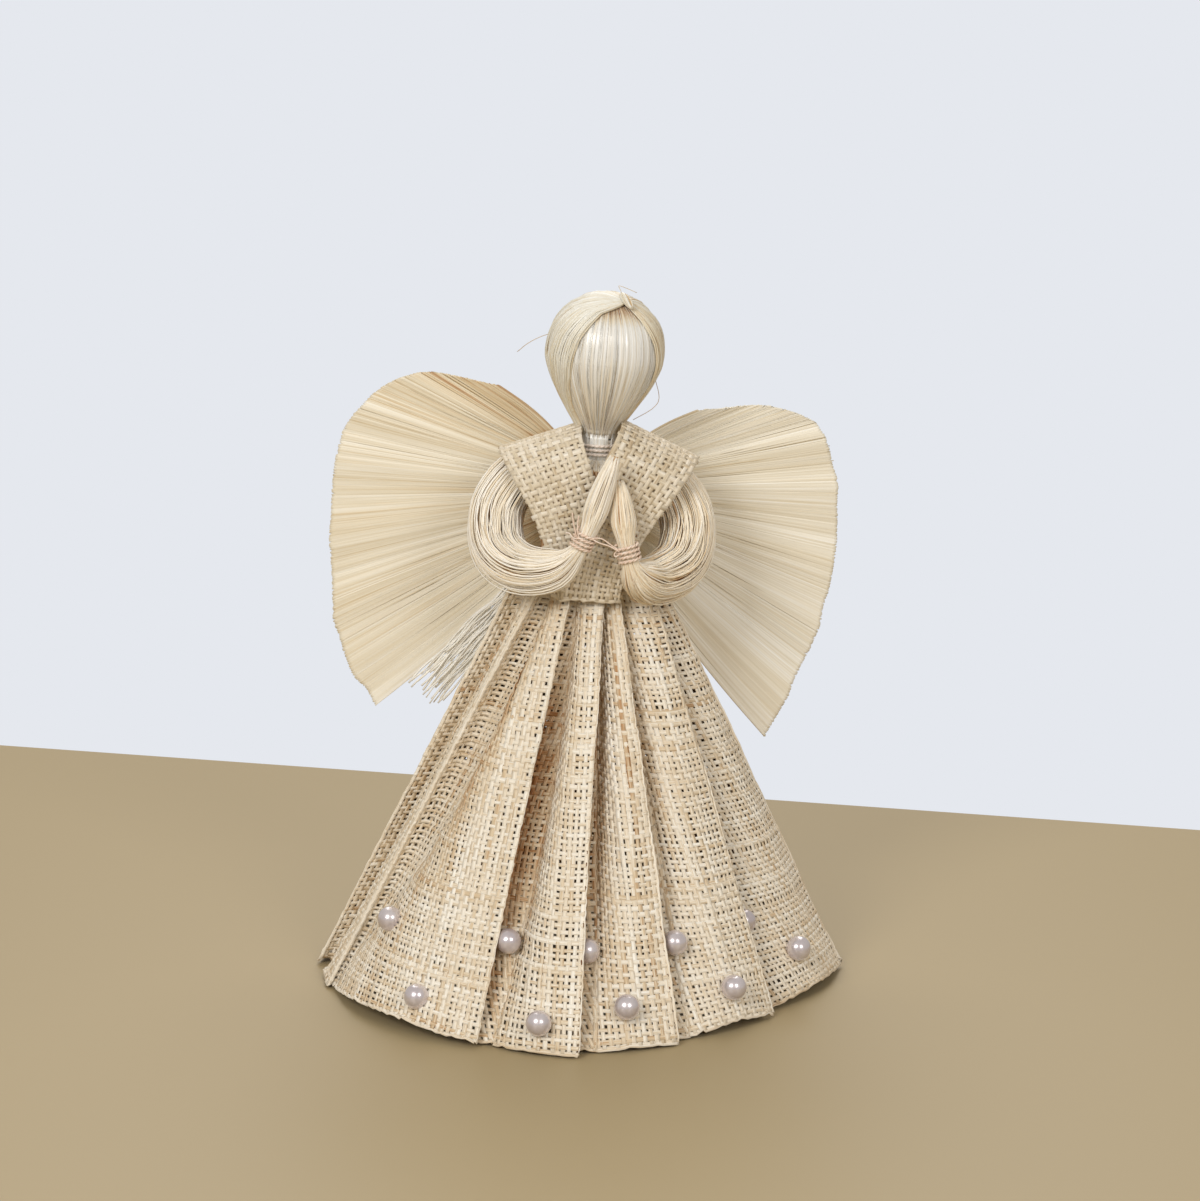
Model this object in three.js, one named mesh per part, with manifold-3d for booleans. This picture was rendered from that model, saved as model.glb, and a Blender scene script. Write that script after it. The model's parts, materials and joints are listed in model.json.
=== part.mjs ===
// A standing angel ornament made of plant fibre, about 115 mm tall.
// A pleated woven skirt is glued round a trunk of bundled fibre. Two woven strips cross over the trunk
// as a bodice, two fibre hanks are bound at the wrists as arms, a wrapped ball is the head, and one
// hank bound in its middle spreads behind the back as two wings. Small pearls are glued to the skirt.
// Left and right are as seen from the front. The front faces -Y, and the hem stands on Z = 0.
import * as THREE from "three";
import { mergeVertices } from "three/addons/utils/BufferGeometryUtils.js";
import Module from "manifold-3d";

// Sizes in millimetres and angles in degrees

// Fits shared by all pieces
const SEAT_GAP = 0.3;
const THREAD_DIAMETER = 0.5;
const THREAD_PITCH = 0.96;

// Skirt: one strip of cloth in knife pleats, wide at the hem and gathered at the waist
const SKIRT_HEIGHT = 66.5;
const SKIRT_SHIFT = 1.2;
const WAIST_HALF_WIDTH = 12.5;
const WAIST_HALF_DEPTH = 7.2;
const CLOTH_THICKNESS = 0.5;
const HEM_FOLD_WIDTH = 1.5;
const WAIST_FOLD_WIDTH = 1;
const WAIST_PLEAT_DEPTH = 3.6;
const WAIST_TUCK = 0.4;
const WAIST_FLOOR = 0.5;
const PLEAT_BOW = 0.5;
// Each front pleat from left to right. Its outer fold has an angle at the hem and at the waist and a reach
// at the hem. The fold behind it has a depth, a tuck behind the outer fold and a floor there. It is drawn
// in and opens to the right by so much more half-way up, and lies further behind a third of the way up.
const FRONT_FOLDS = [
  { hem: -93, waist: -78, reach: 44.2, deep: 2.4, tuck: 0.9, floor: 0.8, draw: 1.5, behind: 0, open: 0 },
  { hem: -76, waist: -38, reach: 42.8, deep: 0.9, tuck: 0.3, floor: 0.8, draw: 1.4, behind: 0, open: 5 },
  { hem: -21.6, waist: -10, reach: 42.8, deep: 1.6, tuck: 0.6, floor: 2.4, draw: 4, behind: 3.4, open: 1.2 },
  { hem: 0.4, waist: 15, reach: 44.8, deep: 2.6, tuck: 1, floor: 3.4, draw: 4.2, behind: 3.6, open: 0.4 },
  { hem: 22.5, waist: 26, reach: 41.7, deep: 2.2, tuck: 0.8, floor: 3.6, draw: 2.4, behind: 2.6, open: 1.2 },
  { hem: 52, waist: 62, reach: 40.2, deep: 2.4, tuck: 1, floor: 2.4, draw: 2, behind: 0.8, open: 0.5 },
  { hem: 92, waist: 92, reach: 44, deep: 2.6, tuck: 0.9, floor: 0.8, draw: 2.2, behind: 0, open: 0.4 },
];
const BACK_FOLDS = 6;
const BACK_FOLD = { reach: 45.4, deep: 2.8, tuck: 0.9, floor: 2.8, draw: 1.2, behind: 1.2, open: 1 };

// Pearls: one low on each pleat and one higher up by the fold behind it, with none on the narrow side pleats
const PEARL_DIAMETER = 4;
// Their heights, with the share across the pleat's face for those that lie on it and not in the fold
const FRONT_PEARLS = [
  { pleat: 2, lower: { across: 0.69, z: 4.7 }, upper: { across: 0.22, z: 13 } },
  { pleat: 3, lower: { across: 0.64, z: 3.9 }, upper: { z: 13.1 } },
  { pleat: 4, lower: { across: 0.49, z: 5.4 }, upper: { z: 12.5 } },
  { pleat: 5, lower: { across: 0.55, z: 5.8 }, upper: { z: 12.7 } },
  { pleat: 6, lower: { across: 0.42, z: 7 }, upper: { z: 12.8 } },
];
const BACK_PEARLS = [8, 9, 10, 11, 12];
const BACK_PEARL = { lower: { across: 0.5, z: 5 }, upper: { z: 14 } };

// Figure: all that is above the waist, in a frame that leans a little from the waist
const FIGURE_LEAN = 4.5;
const SKIRT_LAP = 1.5;

// Trunk: a bundle of fibre from inside the skirt to the neck
const TRUNK_TAIL = 8;
const TRUNK_HALF_WIDTH = 8;
const TRUNK_SHOULDER_HEIGHT = 21;
const TRUNK_SHOULDER_FALL = 0.8;
const NECK_RADIUS = 2.8;
const NECK_HEIGHT = 25.4;
const NECK_LENGTH = 3.2;
const NECK_LOOPS = 2;

// Bodice: two woven strips from the waist over the shoulders to the waist, the right one outside
const STRIP_THICKNESS = 0.6;
const TORSO_HALF_DEPTH = 8.4;
const TORSO_SIDE_FALL = 0.2;
const COLLAR_X = 3.6;
const COLLAR_HEIGHT = 27.1;
const SHOULDER_X = 15.6;
const SHOULDER_HEIGHT = 22.3;
const SHOULDER_ROUND = 7;
const STRIP_END_HEIGHT = 0.6;
const STRIP_END_INNER = -3.9;
const STRIP_END_OUTER = 5.2;
const STRIP_DRAW = 1.75;

// Arms: sleeves that bulge at the elbow, bound at the wrist, with the hands pressed together
const ARM_ROOT_HEIGHT = 19;
const ARM_ROOT_RADIUS = 3.5;
const SLEEVE = [
  { out: 12.4, y: -0.4, z: 18.4, radius: 4 },
  { out: 15.6, y: -2, z: 12.8, radius: 4.4 },
  { out: 14.8, y: -5.6, z: 7, radius: 4.2 },
  { out: 10.6, y: -10, z: 4.7, radius: 3.7 },
];
const FOREARM_RADIUS = 3;
const WRIST_RADIUS = 1.35;
const PALM_RADIUS = 1.95;
const PALM_SHARE = 0.28;
const FINGER_RADIUS = 1.5;
const FINGER_SHARE = 0.72;
const FINGERTIP_RADIUS = 0.75;
const WRIST_LOOPS = 3;
const HANDS = {
  left: { forearm: [-5, -13.6, 6], wrist: [-1.2, -15, 11.3], tip: [2.7, -14.3, 25] },
  right: { forearm: [8, -13.4, 5.6], wrist: [6, -15, 9.8], tip: [3.6, -12.6, 20.8] },
};

// Head: a ball wrapped in combed fibre, with hair laid over it from a knot beside the parting
const BALL_RADIUS = 8.2;
const HEAD_HEIGHT = 39.9;
const WRAP_THICKNESS = 0.4;
const WRAP_BORE = 1.2;
// The wrap's taper from the neck up to the ball: shares of the rise and of the swell
const WRAP_TAPER = [
  { rise: 0.11, swell: 0.05 },
  { rise: 0.32, swell: 0.36 },
  { rise: 0.58, swell: 0.72 },
  { rise: 0.82, swell: 0.95 },
];
const WRAP_ROUND_ANGLES = [90, 68, 46, 22, 0];
const HAIR_THICKNESS = 0.5;
const HAIR_CROWN_DROP = 0.15;
const HAIR_NAPE_RISE = 3.5;
const PARTING_ANGLE = 33;
// The front edge of the hair on each side: height over the ball's middle in head radii, and angle in degrees
const HAIRLINE = {
  left: [
    { share: 0.92, angle: 33 },
    { share: 0.65, angle: -16 },
    { share: 0.24, angle: -29 },
    { share: -0.44, angle: -40 },
    { share: -1.2, angle: -62 },
  ],
  right: [
    { share: 0.92, angle: 33 },
    { share: 0.6, angle: 48 },
    { share: 0.2, angle: 59 },
    { share: -0.62, angle: 75 },
    { share: -1.2, angle: 85 },
  ],
};
const KNOT_TILT = 30;
const KNOT_HALF_LENGTH = 2.2;
const KNOT_HALF_WIDTH = 0.9;

// Wings: one flat hank bound in its middle against the back, spread as a fan on each side
const WING_THICKNESS = 0.6;
const WING_ROOT_THICKNESS = 1;
const WING_ROOT_BOTTOM = 9.5;
const WING_ROOT_TOP = 19.5;
const WING_SWEEP = 10;
const WING_RIPPLE = 0.25;
const WING_RIPPLES = 7;
// The trimmed edge of each wing, from its low tip round to its top: distance from the middle and height
const WING_EDGE = {
  left: [
    [34.2, -26.8],
    [40.3, -18],
    [43, -7],
    [44.2, 5],
    [43.5, 17.8],
    [39.3, 26],
    [30, 31.3],
    [16.8, 30.5],
  ],
  right: [
    [32.4, -26.6],
    [37.4, -15.8],
    [40.6, -5.3],
    [41.6, 6.5],
    [40.9, 18.5],
    [37.2, 26.9],
    [28.5, 30.3],
    [16.2, 28.9],
  ],
};
const GATHER_HALF_LENGTH = 1.7;
const GATHER_HALF_DEPTH = 1.6;
const GATHER_GROOVE = 0.5;
const GATHER_LOOPS = 2;

// Tail: frayed fibre ends that stick out at the left below the waist, from one root against the bodice
const TAIL_STRANDS = 5;
const TAIL_STRAND_RADIUS = 0.42;
const TAIL_STRAND_TAPER = 0.5;
const TAIL_ROOT = { x: -3.8, z: 2.2, radius: 0.8 };
const TAIL_BEND = [
  [-10, 11.8, -2.5],
  [-17, 10.8, -10.5],
  [-26, 9.3, -21.3],
];
const TAIL_FAN_ANGLE = 40;
const TAIL_ROOT_WIDTH = 4;
const TAIL_END_WIDTH = 9;

// Colours, roughness and metalness of each finish
const CLOTH = new THREE.MeshStandardMaterial({ color: 0xd6be96, roughness: 0.8, metalness: 0 });
const PALE_FIBRE = new THREE.MeshStandardMaterial({ color: 0xebe2c8, roughness: 0.45, metalness: 0 });
const HAIR_FIBRE = new THREE.MeshStandardMaterial({ color: 0xe4cda0, roughness: 0.45, metalness: 0 });
const WING_FIBRE = new THREE.MeshStandardMaterial({ color: 0xebdeb9, roughness: 0.5, metalness: 0 });
const TIE_THREAD = new THREE.MeshStandardMaterial({ color: 0xcda58c, roughness: 0.6, metalness: 0 });
const BALL = new THREE.MeshStandardMaterial({ color: 0xf2f2ee, roughness: 0.9, metalness: 0 });
const PEARL = new THREE.MeshStandardMaterial({ color: 0xe8e0e6, roughness: 0.2, metalness: 0 });

const wasm = await Module();
wasm.setup();

const radians = THREE.MathUtils.degToRad;
const mix = THREE.MathUtils.lerp;
const point = (x, y, z) => new THREE.Vector3(x, y, z);
const steps = (count) => Array.from({ length: count + 1 }, (_, i) => i / count);

// A closed geometry from points and triangles, turned so that its faces point out
function closedGeometry(points, triangles) {
  let volume = 0;
  for (let i = 0; i < triangles.length; i += 3) {
    const [a, b, c] = [0, 1, 2].map((k) => points[triangles[i + k]]);
    volume += a.dot(b.clone().cross(c));
  }
  if (volume < 0) triangles.reverse();
  return new THREE.BufferGeometry().setFromPoints(points).setIndex(triangles);
}

const quad = (a, b, c, d) => [a, b, c, a, c, d];

// A thin sheet between two grids of points, closed along its rims. With wrap, its columns run all round.
function sheet(front, back, wrap = false) {
  const rows = front.length;
  const columns = front[0].length;
  const half = rows * columns;
  const at = (i, j) => i * columns + (j % columns);
  const across = wrap ? columns : columns - 1;
  const triangles = [];
  for (let i = 0; i < rows - 1; i++) {
    for (let j = 0; j < across; j++) {
      const corners = [at(i, j), at(i, j + 1), at(i + 1, j + 1), at(i + 1, j)];
      triangles.push(...quad(...corners));
      triangles.push(...quad(...corners.map((k) => k + half).reverse()));
    }
  }
  const rim = (a, b) => triangles.push(...quad(b, a, a + half, b + half));
  for (let j = 0; j < across; j++) {
    rim(at(0, j), at(0, j + 1));
    rim(at(rows - 1, j + 1), at(rows - 1, j));
  }
  for (let i = 0; i < rows - 1 && !wrap; i++) {
    rim(at(i + 1, 0), at(i, 0));
    rim(at(i, columns - 1), at(i + 1, columns - 1));
  }
  return closedGeometry([...front.flat(), ...back.flat()], triangles);
}

// A solid through rings of points, closed at both ends by fans
function loft(rings) {
  const sides = rings[0].length;
  const last = (rings.length - 1) * sides;
  const middle = (ring) => ring.reduce((sum, p) => sum.add(p), point(0, 0, 0)).divideScalar(sides);
  const points = [...rings.flat(), middle(rings[0]), middle(rings[rings.length - 1])];
  const first = rings.length * sides;
  const triangles = [];
  for (let j = 0; j < sides; j++) {
    const next = (j + 1) % sides;
    for (let i = 0; i < last; i += sides) {
      triangles.push(...quad(i + j, i + next, i + sides + next, i + sides + j));
    }
    triangles.push(next, j, first, last + j, last + next, first + 1);
  }
  return closedGeometry(points, triangles);
}

// Rings of a round section carried along a path without twist, from a start side that no path runs along
const START_SIDE = point(0.3, 0.9, 0.3);
function ringsAlong(path, radii, sides) {
  let side = START_SIDE;
  return path.map((centre, i) => {
    const along = path[Math.min(i + 1, path.length - 1)].clone().sub(path[Math.max(i - 1, 0)]).normalize();
    side = side.clone().addScaledVector(along, -side.dot(along)).normalize();
    const up = along.clone().cross(side);
    return steps(sides).slice(0, sides).map((turn) => {
      const angle = 2 * Math.PI * turn;
      const out = side.clone().multiplyScalar(Math.cos(angle)).addScaledVector(up, Math.sin(angle));
      return centre.clone().addScaledVector(out, radii[i]);
    });
  });
}

// An upright elliptical ring
function ellipse(halfWidth, halfDepth, z, sides) {
  return steps(sides).slice(0, sides).map((turn) => {
    const angle = 2 * Math.PI * turn;
    return point(halfWidth * Math.sin(angle), -halfDepth * Math.cos(angle), z);
  });
}

function solidOf(geometry) {
  const bare = geometry.clone();
  bare.deleteAttribute("normal");
  bare.deleteAttribute("uv");
  const merged = mergeVertices(bare, 1e-4);
  const vertProperties = merged.attributes.position.array;
  return new wasm.Manifold(new wasm.Mesh({ numProp: 3, vertProperties, triVerts: merged.index.array }));
}

// Several closed geometries joined into one
function fuse(geometries) {
  const joined = geometries.map(solidOf).reduce((sum, solid) => sum.add(solid)).getMesh();
  const positions = new THREE.BufferAttribute(joined.vertProperties, joined.numProp);
  return new THREE.BufferGeometry().setAttribute("position", positions).setIndex([...joined.triVerts]);
}

function piece(name, geometry, material) {
  const mesh = new THREE.Mesh(geometry, material);
  mesh.name = name;
  return mesh;
}

// A thread wound in one run round an oval core, which has its axis along local Z
class Winding extends THREE.Curve {
  constructor(halfWidth, halfDepth, loops) {
    super();
    Object.assign(this, { halfWidth, halfDepth, loops });
  }
  getPoint(t, target = new THREE.Vector3()) {
    const angle = 2 * Math.PI * this.loops * t;
    const z = this.loops * THREAD_PITCH * (t - 0.5);
    return target.set(this.halfWidth * Math.cos(angle), this.halfDepth * Math.sin(angle), z);
  }
}

const LOOP_STEPS = 20;
const THREAD_SIDES = 6;
const threadSeat = SEAT_GAP + THREAD_DIAMETER / 2;
const windingLength = (loops) => loops * THREAD_PITCH + THREAD_DIAMETER;

// Prints the least gap between neighbouring loops of a winding, measured on points along it
function printLeastGap(name, curve) {
  const points = curve.getPoints(LOOP_STEPS * curve.loops);
  let least = Infinity;
  points.forEach((a, i) => {
    points.slice(i + LOOP_STEPS / 2).forEach((b) => {
      least = Math.min(least, a.distanceTo(b) - THREAD_DIAMETER);
    });
  });
  console.log(`${name}: least gap between loops ${least.toFixed(2)} mm`);
}

function winding(name, coreHalfWidth, coreHalfDepth, loops) {
  const curve = new Winding(coreHalfWidth + threadSeat, coreHalfDepth + threadSeat, loops);
  printLeastGap(name, curve);
  const section = new THREE.Shape(
    steps(THREAD_SIDES).slice(0, THREAD_SIDES).map((turn) => {
      const angle = 2 * Math.PI * turn;
      return new THREE.Vector2(Math.cos(angle), Math.sin(angle)).multiplyScalar(THREAD_DIAMETER / 2);
    }),
  );
  const options = { steps: LOOP_STEPS * loops, extrudePath: curve };
  return piece(name, new THREE.ExtrudeGeometry(section, options), TIE_THREAD);
}

// Skirt

const backStep = (from, to) => (to - from) / (BACK_FOLDS + 1);
const firstFold = FRONT_FOLDS[0];
const lastFold = FRONT_FOLDS[FRONT_FOLDS.length - 1];
const backFolds = Array.from({ length: BACK_FOLDS }, (_, i) => ({
  hem: lastFold.hem + (i + 1) * backStep(lastFold.hem, firstFold.hem + 360),
  waist: lastFold.waist + (i + 1) * backStep(lastFold.waist, firstFold.waist + 360),
  ...BACK_FOLD,
}));
const folds = [...FRONT_FOLDS, ...backFolds];

// A point at an angle round the axis, from the front towards the right, moved sideways by a shift
function roundAxis(angle, halfWidth, halfDepth, shift) {
  const a = radians(angle);
  return new THREE.Vector2(
    halfWidth * Math.sin(a) + shift * Math.cos(a),
    -halfDepth * Math.cos(a) + shift * Math.sin(a),
  );
}

// Each pleat's corners at the hem or the waist: its outer fold, the fold tucked in behind it and its face
const PLEAT_POINT_COUNT = 5;
const TUCKED_INDEX = 2;
const VALLEY_INDEX = 3;
const FACE_INDEX = 4;
function pleatOutline(level) {
  const { angle, width, depth, deep, tuck, floor, foldWidth } = level;
  return folds.flatMap((here, k) => {
    const next = folds[(k + 1) % folds.length];
    const turned = k + 1 < folds.length ? 0 : 360;
    const outer = [width(here), depth(here)];
    const inner = outer.map((reach) => reach * (1 - deep(here) / width(here)));
    const midway = (angle(here) + angle(next) + turned) / 2;
    const face = [0, 1].map((i) => (inner[i] + [width(next), depth(next)][i]) / 2 + PLEAT_BOW);
    return [
      roundAxis(angle(here), ...outer, -foldWidth),
      roundAxis(angle(here), ...outer, 0),
      roundAxis(angle(here), ...inner, -tuck(here)),
      roundAxis(angle(here), ...inner, floor(here) - tuck(here)),
      roundAxis(midway, ...face, 0),
    ];
  });
}

const hemOutline = pleatOutline({
  angle: (fold) => fold.hem,
  width: (fold) => fold.reach,
  depth: (fold) => fold.reach,
  deep: (fold) => fold.deep,
  tuck: (fold) => fold.tuck,
  floor: (fold) => fold.floor,
  foldWidth: HEM_FOLD_WIDTH,
});
const waistOutline = pleatOutline({
  angle: (fold) => fold.waist,
  width: () => WAIST_HALF_WIDTH,
  depth: () => WAIST_HALF_DEPTH,
  deep: () => WAIST_PLEAT_DEPTH,
  tuck: () => WAIST_TUCK,
  floor: () => WAIST_FLOOR,
  foldWidth: WAIST_FOLD_WIDTH,
});

const AXIS = new THREE.Vector2();
// Bends that are nothing at the hem and the waist and whole half-way up, or a third of the way up
const MIDDLE_BEND = 4;
const LOW_BEND = 6.75;
// The skirt's outside at a height: from hem to waist in straight lines, with the folds fuller in between
function skirtOutline(z) {
  const rise = z / SKIRT_HEIGHT;
  const full = MIDDLE_BEND * rise * (1 - rise);
  const lowFull = LOW_BEND * rise * (1 - rise) ** 2;
  return hemOutline.map((corner, j) => {
    const fold = folds[Math.floor(j / PLEAT_POINT_COUNT)];
    const shifts = { [TUCKED_INDEX]: -fold.behind * lowFull, [VALLEY_INDEX]: fold.open * full };
    const aside = shifts[j % PLEAT_POINT_COUNT];
    const flat = corner.clone().lerp(waistOutline[j], rise).add(new THREE.Vector2(SKIRT_SHIFT * rise, 0));
    if (aside === undefined) return flat;
    const drawn = new THREE.Vector2(aside, fold.draw * full);
    return flat.add(drawn.rotateAround(AXIS, radians(mix(fold.hem, fold.waist, rise))));
  });
}

// The outline moved inwards by the cloth's thickness, mitred at its corners
function insideOf(outline) {
  const normals = outline.map((p, i) => {
    const run = outline[(i + 1) % outline.length].clone().sub(p).normalize();
    return new THREE.Vector2(-run.y, run.x);
  });
  return outline.map((p, i) => {
    const before = normals[(i + outline.length - 1) % outline.length];
    const mitre = before.clone().add(normals[i]);
    return p.clone().addScaledVector(mitre, CLOTH_THICKNESS / (1 + before.dot(normals[i])));
  });
}

const SKIRT_ROWS = 8;
function skirt() {
  const heights = steps(SKIRT_ROWS).map((share) => share * SKIRT_HEIGHT);
  const raise = (outline, z) => outline.map((corner) => point(corner.x, corner.y, z));
  const outside = heights.map((z) => raise(skirtOutline(z), z));
  const inside = heights.map((z) => raise(insideOf(skirtOutline(z)), z));
  return piece("skirt", sheet(outside, inside, true), CLOTH);
}

// Pearls

const pearlSeat = PEARL_DIAMETER / 2 + SEAT_GAP;
const PEARL_SIDES = 10;
const PEARL_RINGS = 8;

// A corner of the skirt's outside at a height, counted on past the last one
function onSkirt(j, z) {
  const outline = skirtOutline(z);
  const corner = outline[j % outline.length];
  return point(corner.x, corner.y, z);
}

// The outward direction of the skirt's stretch between two corners
function skirtNormal(j, next, z) {
  const up = onSkirt(j, z + pearlSeat).sub(onSkirt(j, z - pearlSeat));
  return onSkirt(next, z).sub(onSkirt(j, z)).cross(up).normalize();
}

// A pearl's centre on the broad face behind a fold, a share of the way across its two halves
const HALF_FACE = 0.5;
function onFace(fold, { across, z }) {
  const from = fold + (across < HALF_FACE ? VALLEY_INDEX : FACE_INDEX);
  const spot = onSkirt(from, z).lerp(onSkirt(from + 1, z), (across % HALF_FACE) / HALF_FACE);
  return spot.addScaledVector(skirtNormal(from, from + 1, z), pearlSeat);
}

// A pearl's centre where it touches both the tucked side of a fold and its floor
function inFold(fold, { z }) {
  const tucked = fold + TUCKED_INDEX;
  const sideNormal = skirtNormal(tucked - 1, tucked, z);
  const floorNormal = skirtNormal(tucked, tucked + 1, z);
  const between = sideNormal.clone().add(floorNormal);
  return onSkirt(tucked, z).addScaledVector(between, pearlSeat / (1 + sideNormal.dot(floorNormal)));
}

function pearl(row, pleat, place) {
  const ball = new THREE.SphereGeometry(PEARL_DIAMETER / 2, PEARL_SIDES, PEARL_RINGS);
  const mesh = piece(`pearl_${row}_${String(pleat).padStart(2, "0")}`, ball, PEARL);
  const fold = (pleat - 1) * PLEAT_POINT_COUNT;
  mesh.position.copy(place.across ? onFace(fold, place) : inFold(fold, place));
  return mesh;
}

function pearls() {
  const backPearls = BACK_PEARLS.map((pleat) => ({ pleat, ...BACK_PEARL }));
  return [...FRONT_PEARLS, ...backPearls].flatMap(({ pleat, lower, upper }) => [
    pearl("lower", pleat, lower),
    pearl("upper", pleat, upper),
  ]);
}

// Trunk and neck

const waistThroat = 1 - WAIST_PLEAT_DEPTH / WAIST_HALF_WIDTH;
const throatClear = 2 * CLOTH_THICKNESS + SEAT_GAP;
const tailHalfWidth = WAIST_HALF_WIDTH * waistThroat - throatClear;
const tailHalfDepth = WAIST_HALF_DEPTH * waistThroat - throatClear;
const trunkHalfDepth = TORSO_HALF_DEPTH - SEAT_GAP;
const neckFoot = NECK_HEIGHT - NECK_LENGTH;
const neckMidDepth = mix(trunkHalfDepth, NECK_RADIUS, 0.7);
const TRUNK_SIDES = 14;

function trunk() {
  const swell = SKIRT_LAP + 2 * SEAT_GAP;
  const levels = [
    [-TRUNK_TAIL, tailHalfWidth, tailHalfDepth],
    [SKIRT_LAP, tailHalfWidth, tailHalfDepth],
    [2 * swell, TRUNK_HALF_WIDTH, trunkHalfDepth],
    [ARM_ROOT_HEIGHT, TRUNK_HALF_WIDTH, trunkHalfDepth],
    [TRUNK_SHOULDER_HEIGHT, TRUNK_HALF_WIDTH - TRUNK_SHOULDER_FALL, trunkHalfDepth - TRUNK_SHOULDER_FALL],
    [mix(TRUNK_SHOULDER_HEIGHT, neckFoot, 0.5), mix(TRUNK_HALF_WIDTH, NECK_RADIUS, 0.5), neckMidDepth],
    [neckFoot, NECK_RADIUS, NECK_RADIUS],
    [NECK_HEIGHT, NECK_RADIUS, NECK_RADIUS],
  ];
  const rings = levels.map(([z, width, depth]) => ellipse(width, depth, z, TRUNK_SIDES));
  return piece("trunk", loft(rings), PALE_FIBRE);
}

function neckTie() {
  const tie = winding("neck_tie", NECK_RADIUS, NECK_RADIUS, NECK_LOOPS);
  tie.position.z = NECK_HEIGHT - SEAT_GAP - windingLength(NECK_LOOPS) / 2;
  return tie;
}

// Bodice

// Height of the shoulder line, which falls from the collar outwards
const shoulderSlope = (COLLAR_HEIGHT - SHOULDER_HEIGHT) / (SHOULDER_X - COLLAR_X);
const shoulderLine = (x) => COLLAR_HEIGHT - (Math.abs(x) - COLLAR_X) * shoulderSlope;

// Half the torso's depth at a place on its front, rounded over the shoulder
function torsoDepth(x, z) {
  const below = Math.min(Math.max(shoulderLine(x) - z, 0) / SHOULDER_ROUND, 1);
  const sideways = 1 - TORSO_SIDE_FALL * (x / SHOULDER_X) ** 2;
  return TORSO_HALF_DEPTH * sideways * Math.sqrt(1 - (1 - below) ** 2);
}

// A place on a strip: run goes from the front waist (-1) over the shoulder (0) to the back waist (1),
// and across goes from its edge at the collar (0) to its outer edge (1)
const ROUND_SHARE = 0.4;
function onStrip(side, run, across) {
  const length = Math.abs(run);
  const top = mix(COLLAR_HEIGHT, SHOULDER_HEIGHT, across);
  const fall = top - STRIP_END_HEIGHT;
  const turn = (Math.PI / 2) * (length / ROUND_SHARE);
  const straight = (length - ROUND_SHARE) / (1 - ROUND_SHARE);
  const drop = straight < 0 ? SHOULDER_ROUND * (1 - Math.cos(turn)) : mix(SHOULDER_ROUND, fall, straight);
  const start = mix(COLLAR_X, SHOULDER_X, across);
  const end = mix(STRIP_END_INNER, STRIP_END_OUTER, across);
  const x = end + (start - end) * Math.max(1 - drop / fall, 0) ** STRIP_DRAW;
  const z = top - drop;
  return point(side * x, Math.sign(run) * torsoDepth(x, z), z);
}

const STRIP_ROWS = 20;
const STRIP_COLUMNS = 4;
const PROBE = 0.002;
function bodiceStrip(name, side, layer) {
  const lift = SEAT_GAP / 2 + layer * (STRIP_THICKNESS + SEAT_GAP);
  const face = (height) =>
    steps(STRIP_ROWS).map((row) =>
      steps(STRIP_COLUMNS).map((across) => {
        const run = 2 * row - 1;
        const here = onStrip(side, run, across);
        const along = onStrip(side, run + PROBE, across).sub(onStrip(side, run - PROBE, across));
        const over = onStrip(side, run, across + PROBE).sub(onStrip(side, run, across - PROBE));
        const out = over.cross(along).normalize().multiplyScalar(side);
        return here.addScaledVector(out, height);
      }),
    );
  return piece(name, sheet(face(lift + STRIP_THICKNESS), face(lift)), CLOTH);
}

// Arms

const wristHalf = windingLength(WRIST_LOOPS) / 2 + SEAT_GAP;
const ARM_SIDES = 10;
const ARM_STEPS = 3;

// The hand's own line through the wrist tie
function wristLine(hand) {
  const wrist = point(...hand.wrist);
  const along = point(...hand.tip).sub(point(...hand.forearm)).normalize();
  return { wrist, along };
}

function arm(name, side, hand) {
  const { wrist, along } = wristLine(hand);
  const root = point(side * (TRUNK_HALF_WIDTH + SEAT_GAP), 0, ARM_ROOT_HEIGHT);
  const tip = point(...hand.tip);
  const low = wrist.clone().addScaledVector(along, -wristHalf);
  const high = wrist.clone().addScaledVector(along, wristHalf);
  const palm = high.clone().lerp(tip, PALM_SHARE);
  const fingers = high.clone().lerp(tip, FINGER_SHARE);
  const route = [
    [root, ARM_ROOT_RADIUS],
    ...SLEEVE.map(({ out, y, z, radius }) => [point(side * out, y, z), radius]),
    [point(...hand.forearm), FOREARM_RADIUS],
    [low, WRIST_RADIUS],
    [high, WRIST_RADIUS],
    [palm, PALM_RADIUS],
    [fingers, FINGER_RADIUS],
    [tip, FINGERTIP_RADIUS],
  ];
  const curve = new THREE.CatmullRomCurve3(route.map(([place]) => place));
  const stretches = route.length - 1;
  const path = curve.getPoints(stretches * ARM_STEPS);
  const radii = path.map((_, i) => {
    const k = Math.min(Math.floor(i / ARM_STEPS), stretches - 1);
    return mix(route[k][1], route[k + 1][1], i / ARM_STEPS - k);
  });
  return piece(name, loft(ringsAlong(path, radii, ARM_SIDES)), PALE_FIBRE);
}

function wristTie(name, hand) {
  const { wrist, along } = wristLine(hand);
  const tie = winding(name, WRIST_RADIUS, WRIST_RADIUS, WRIST_LOOPS);
  tie.position.copy(wrist);
  tie.quaternion.setFromUnitVectors(point(0, 0, 1), along);
  return tie;
}

// Head

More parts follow.
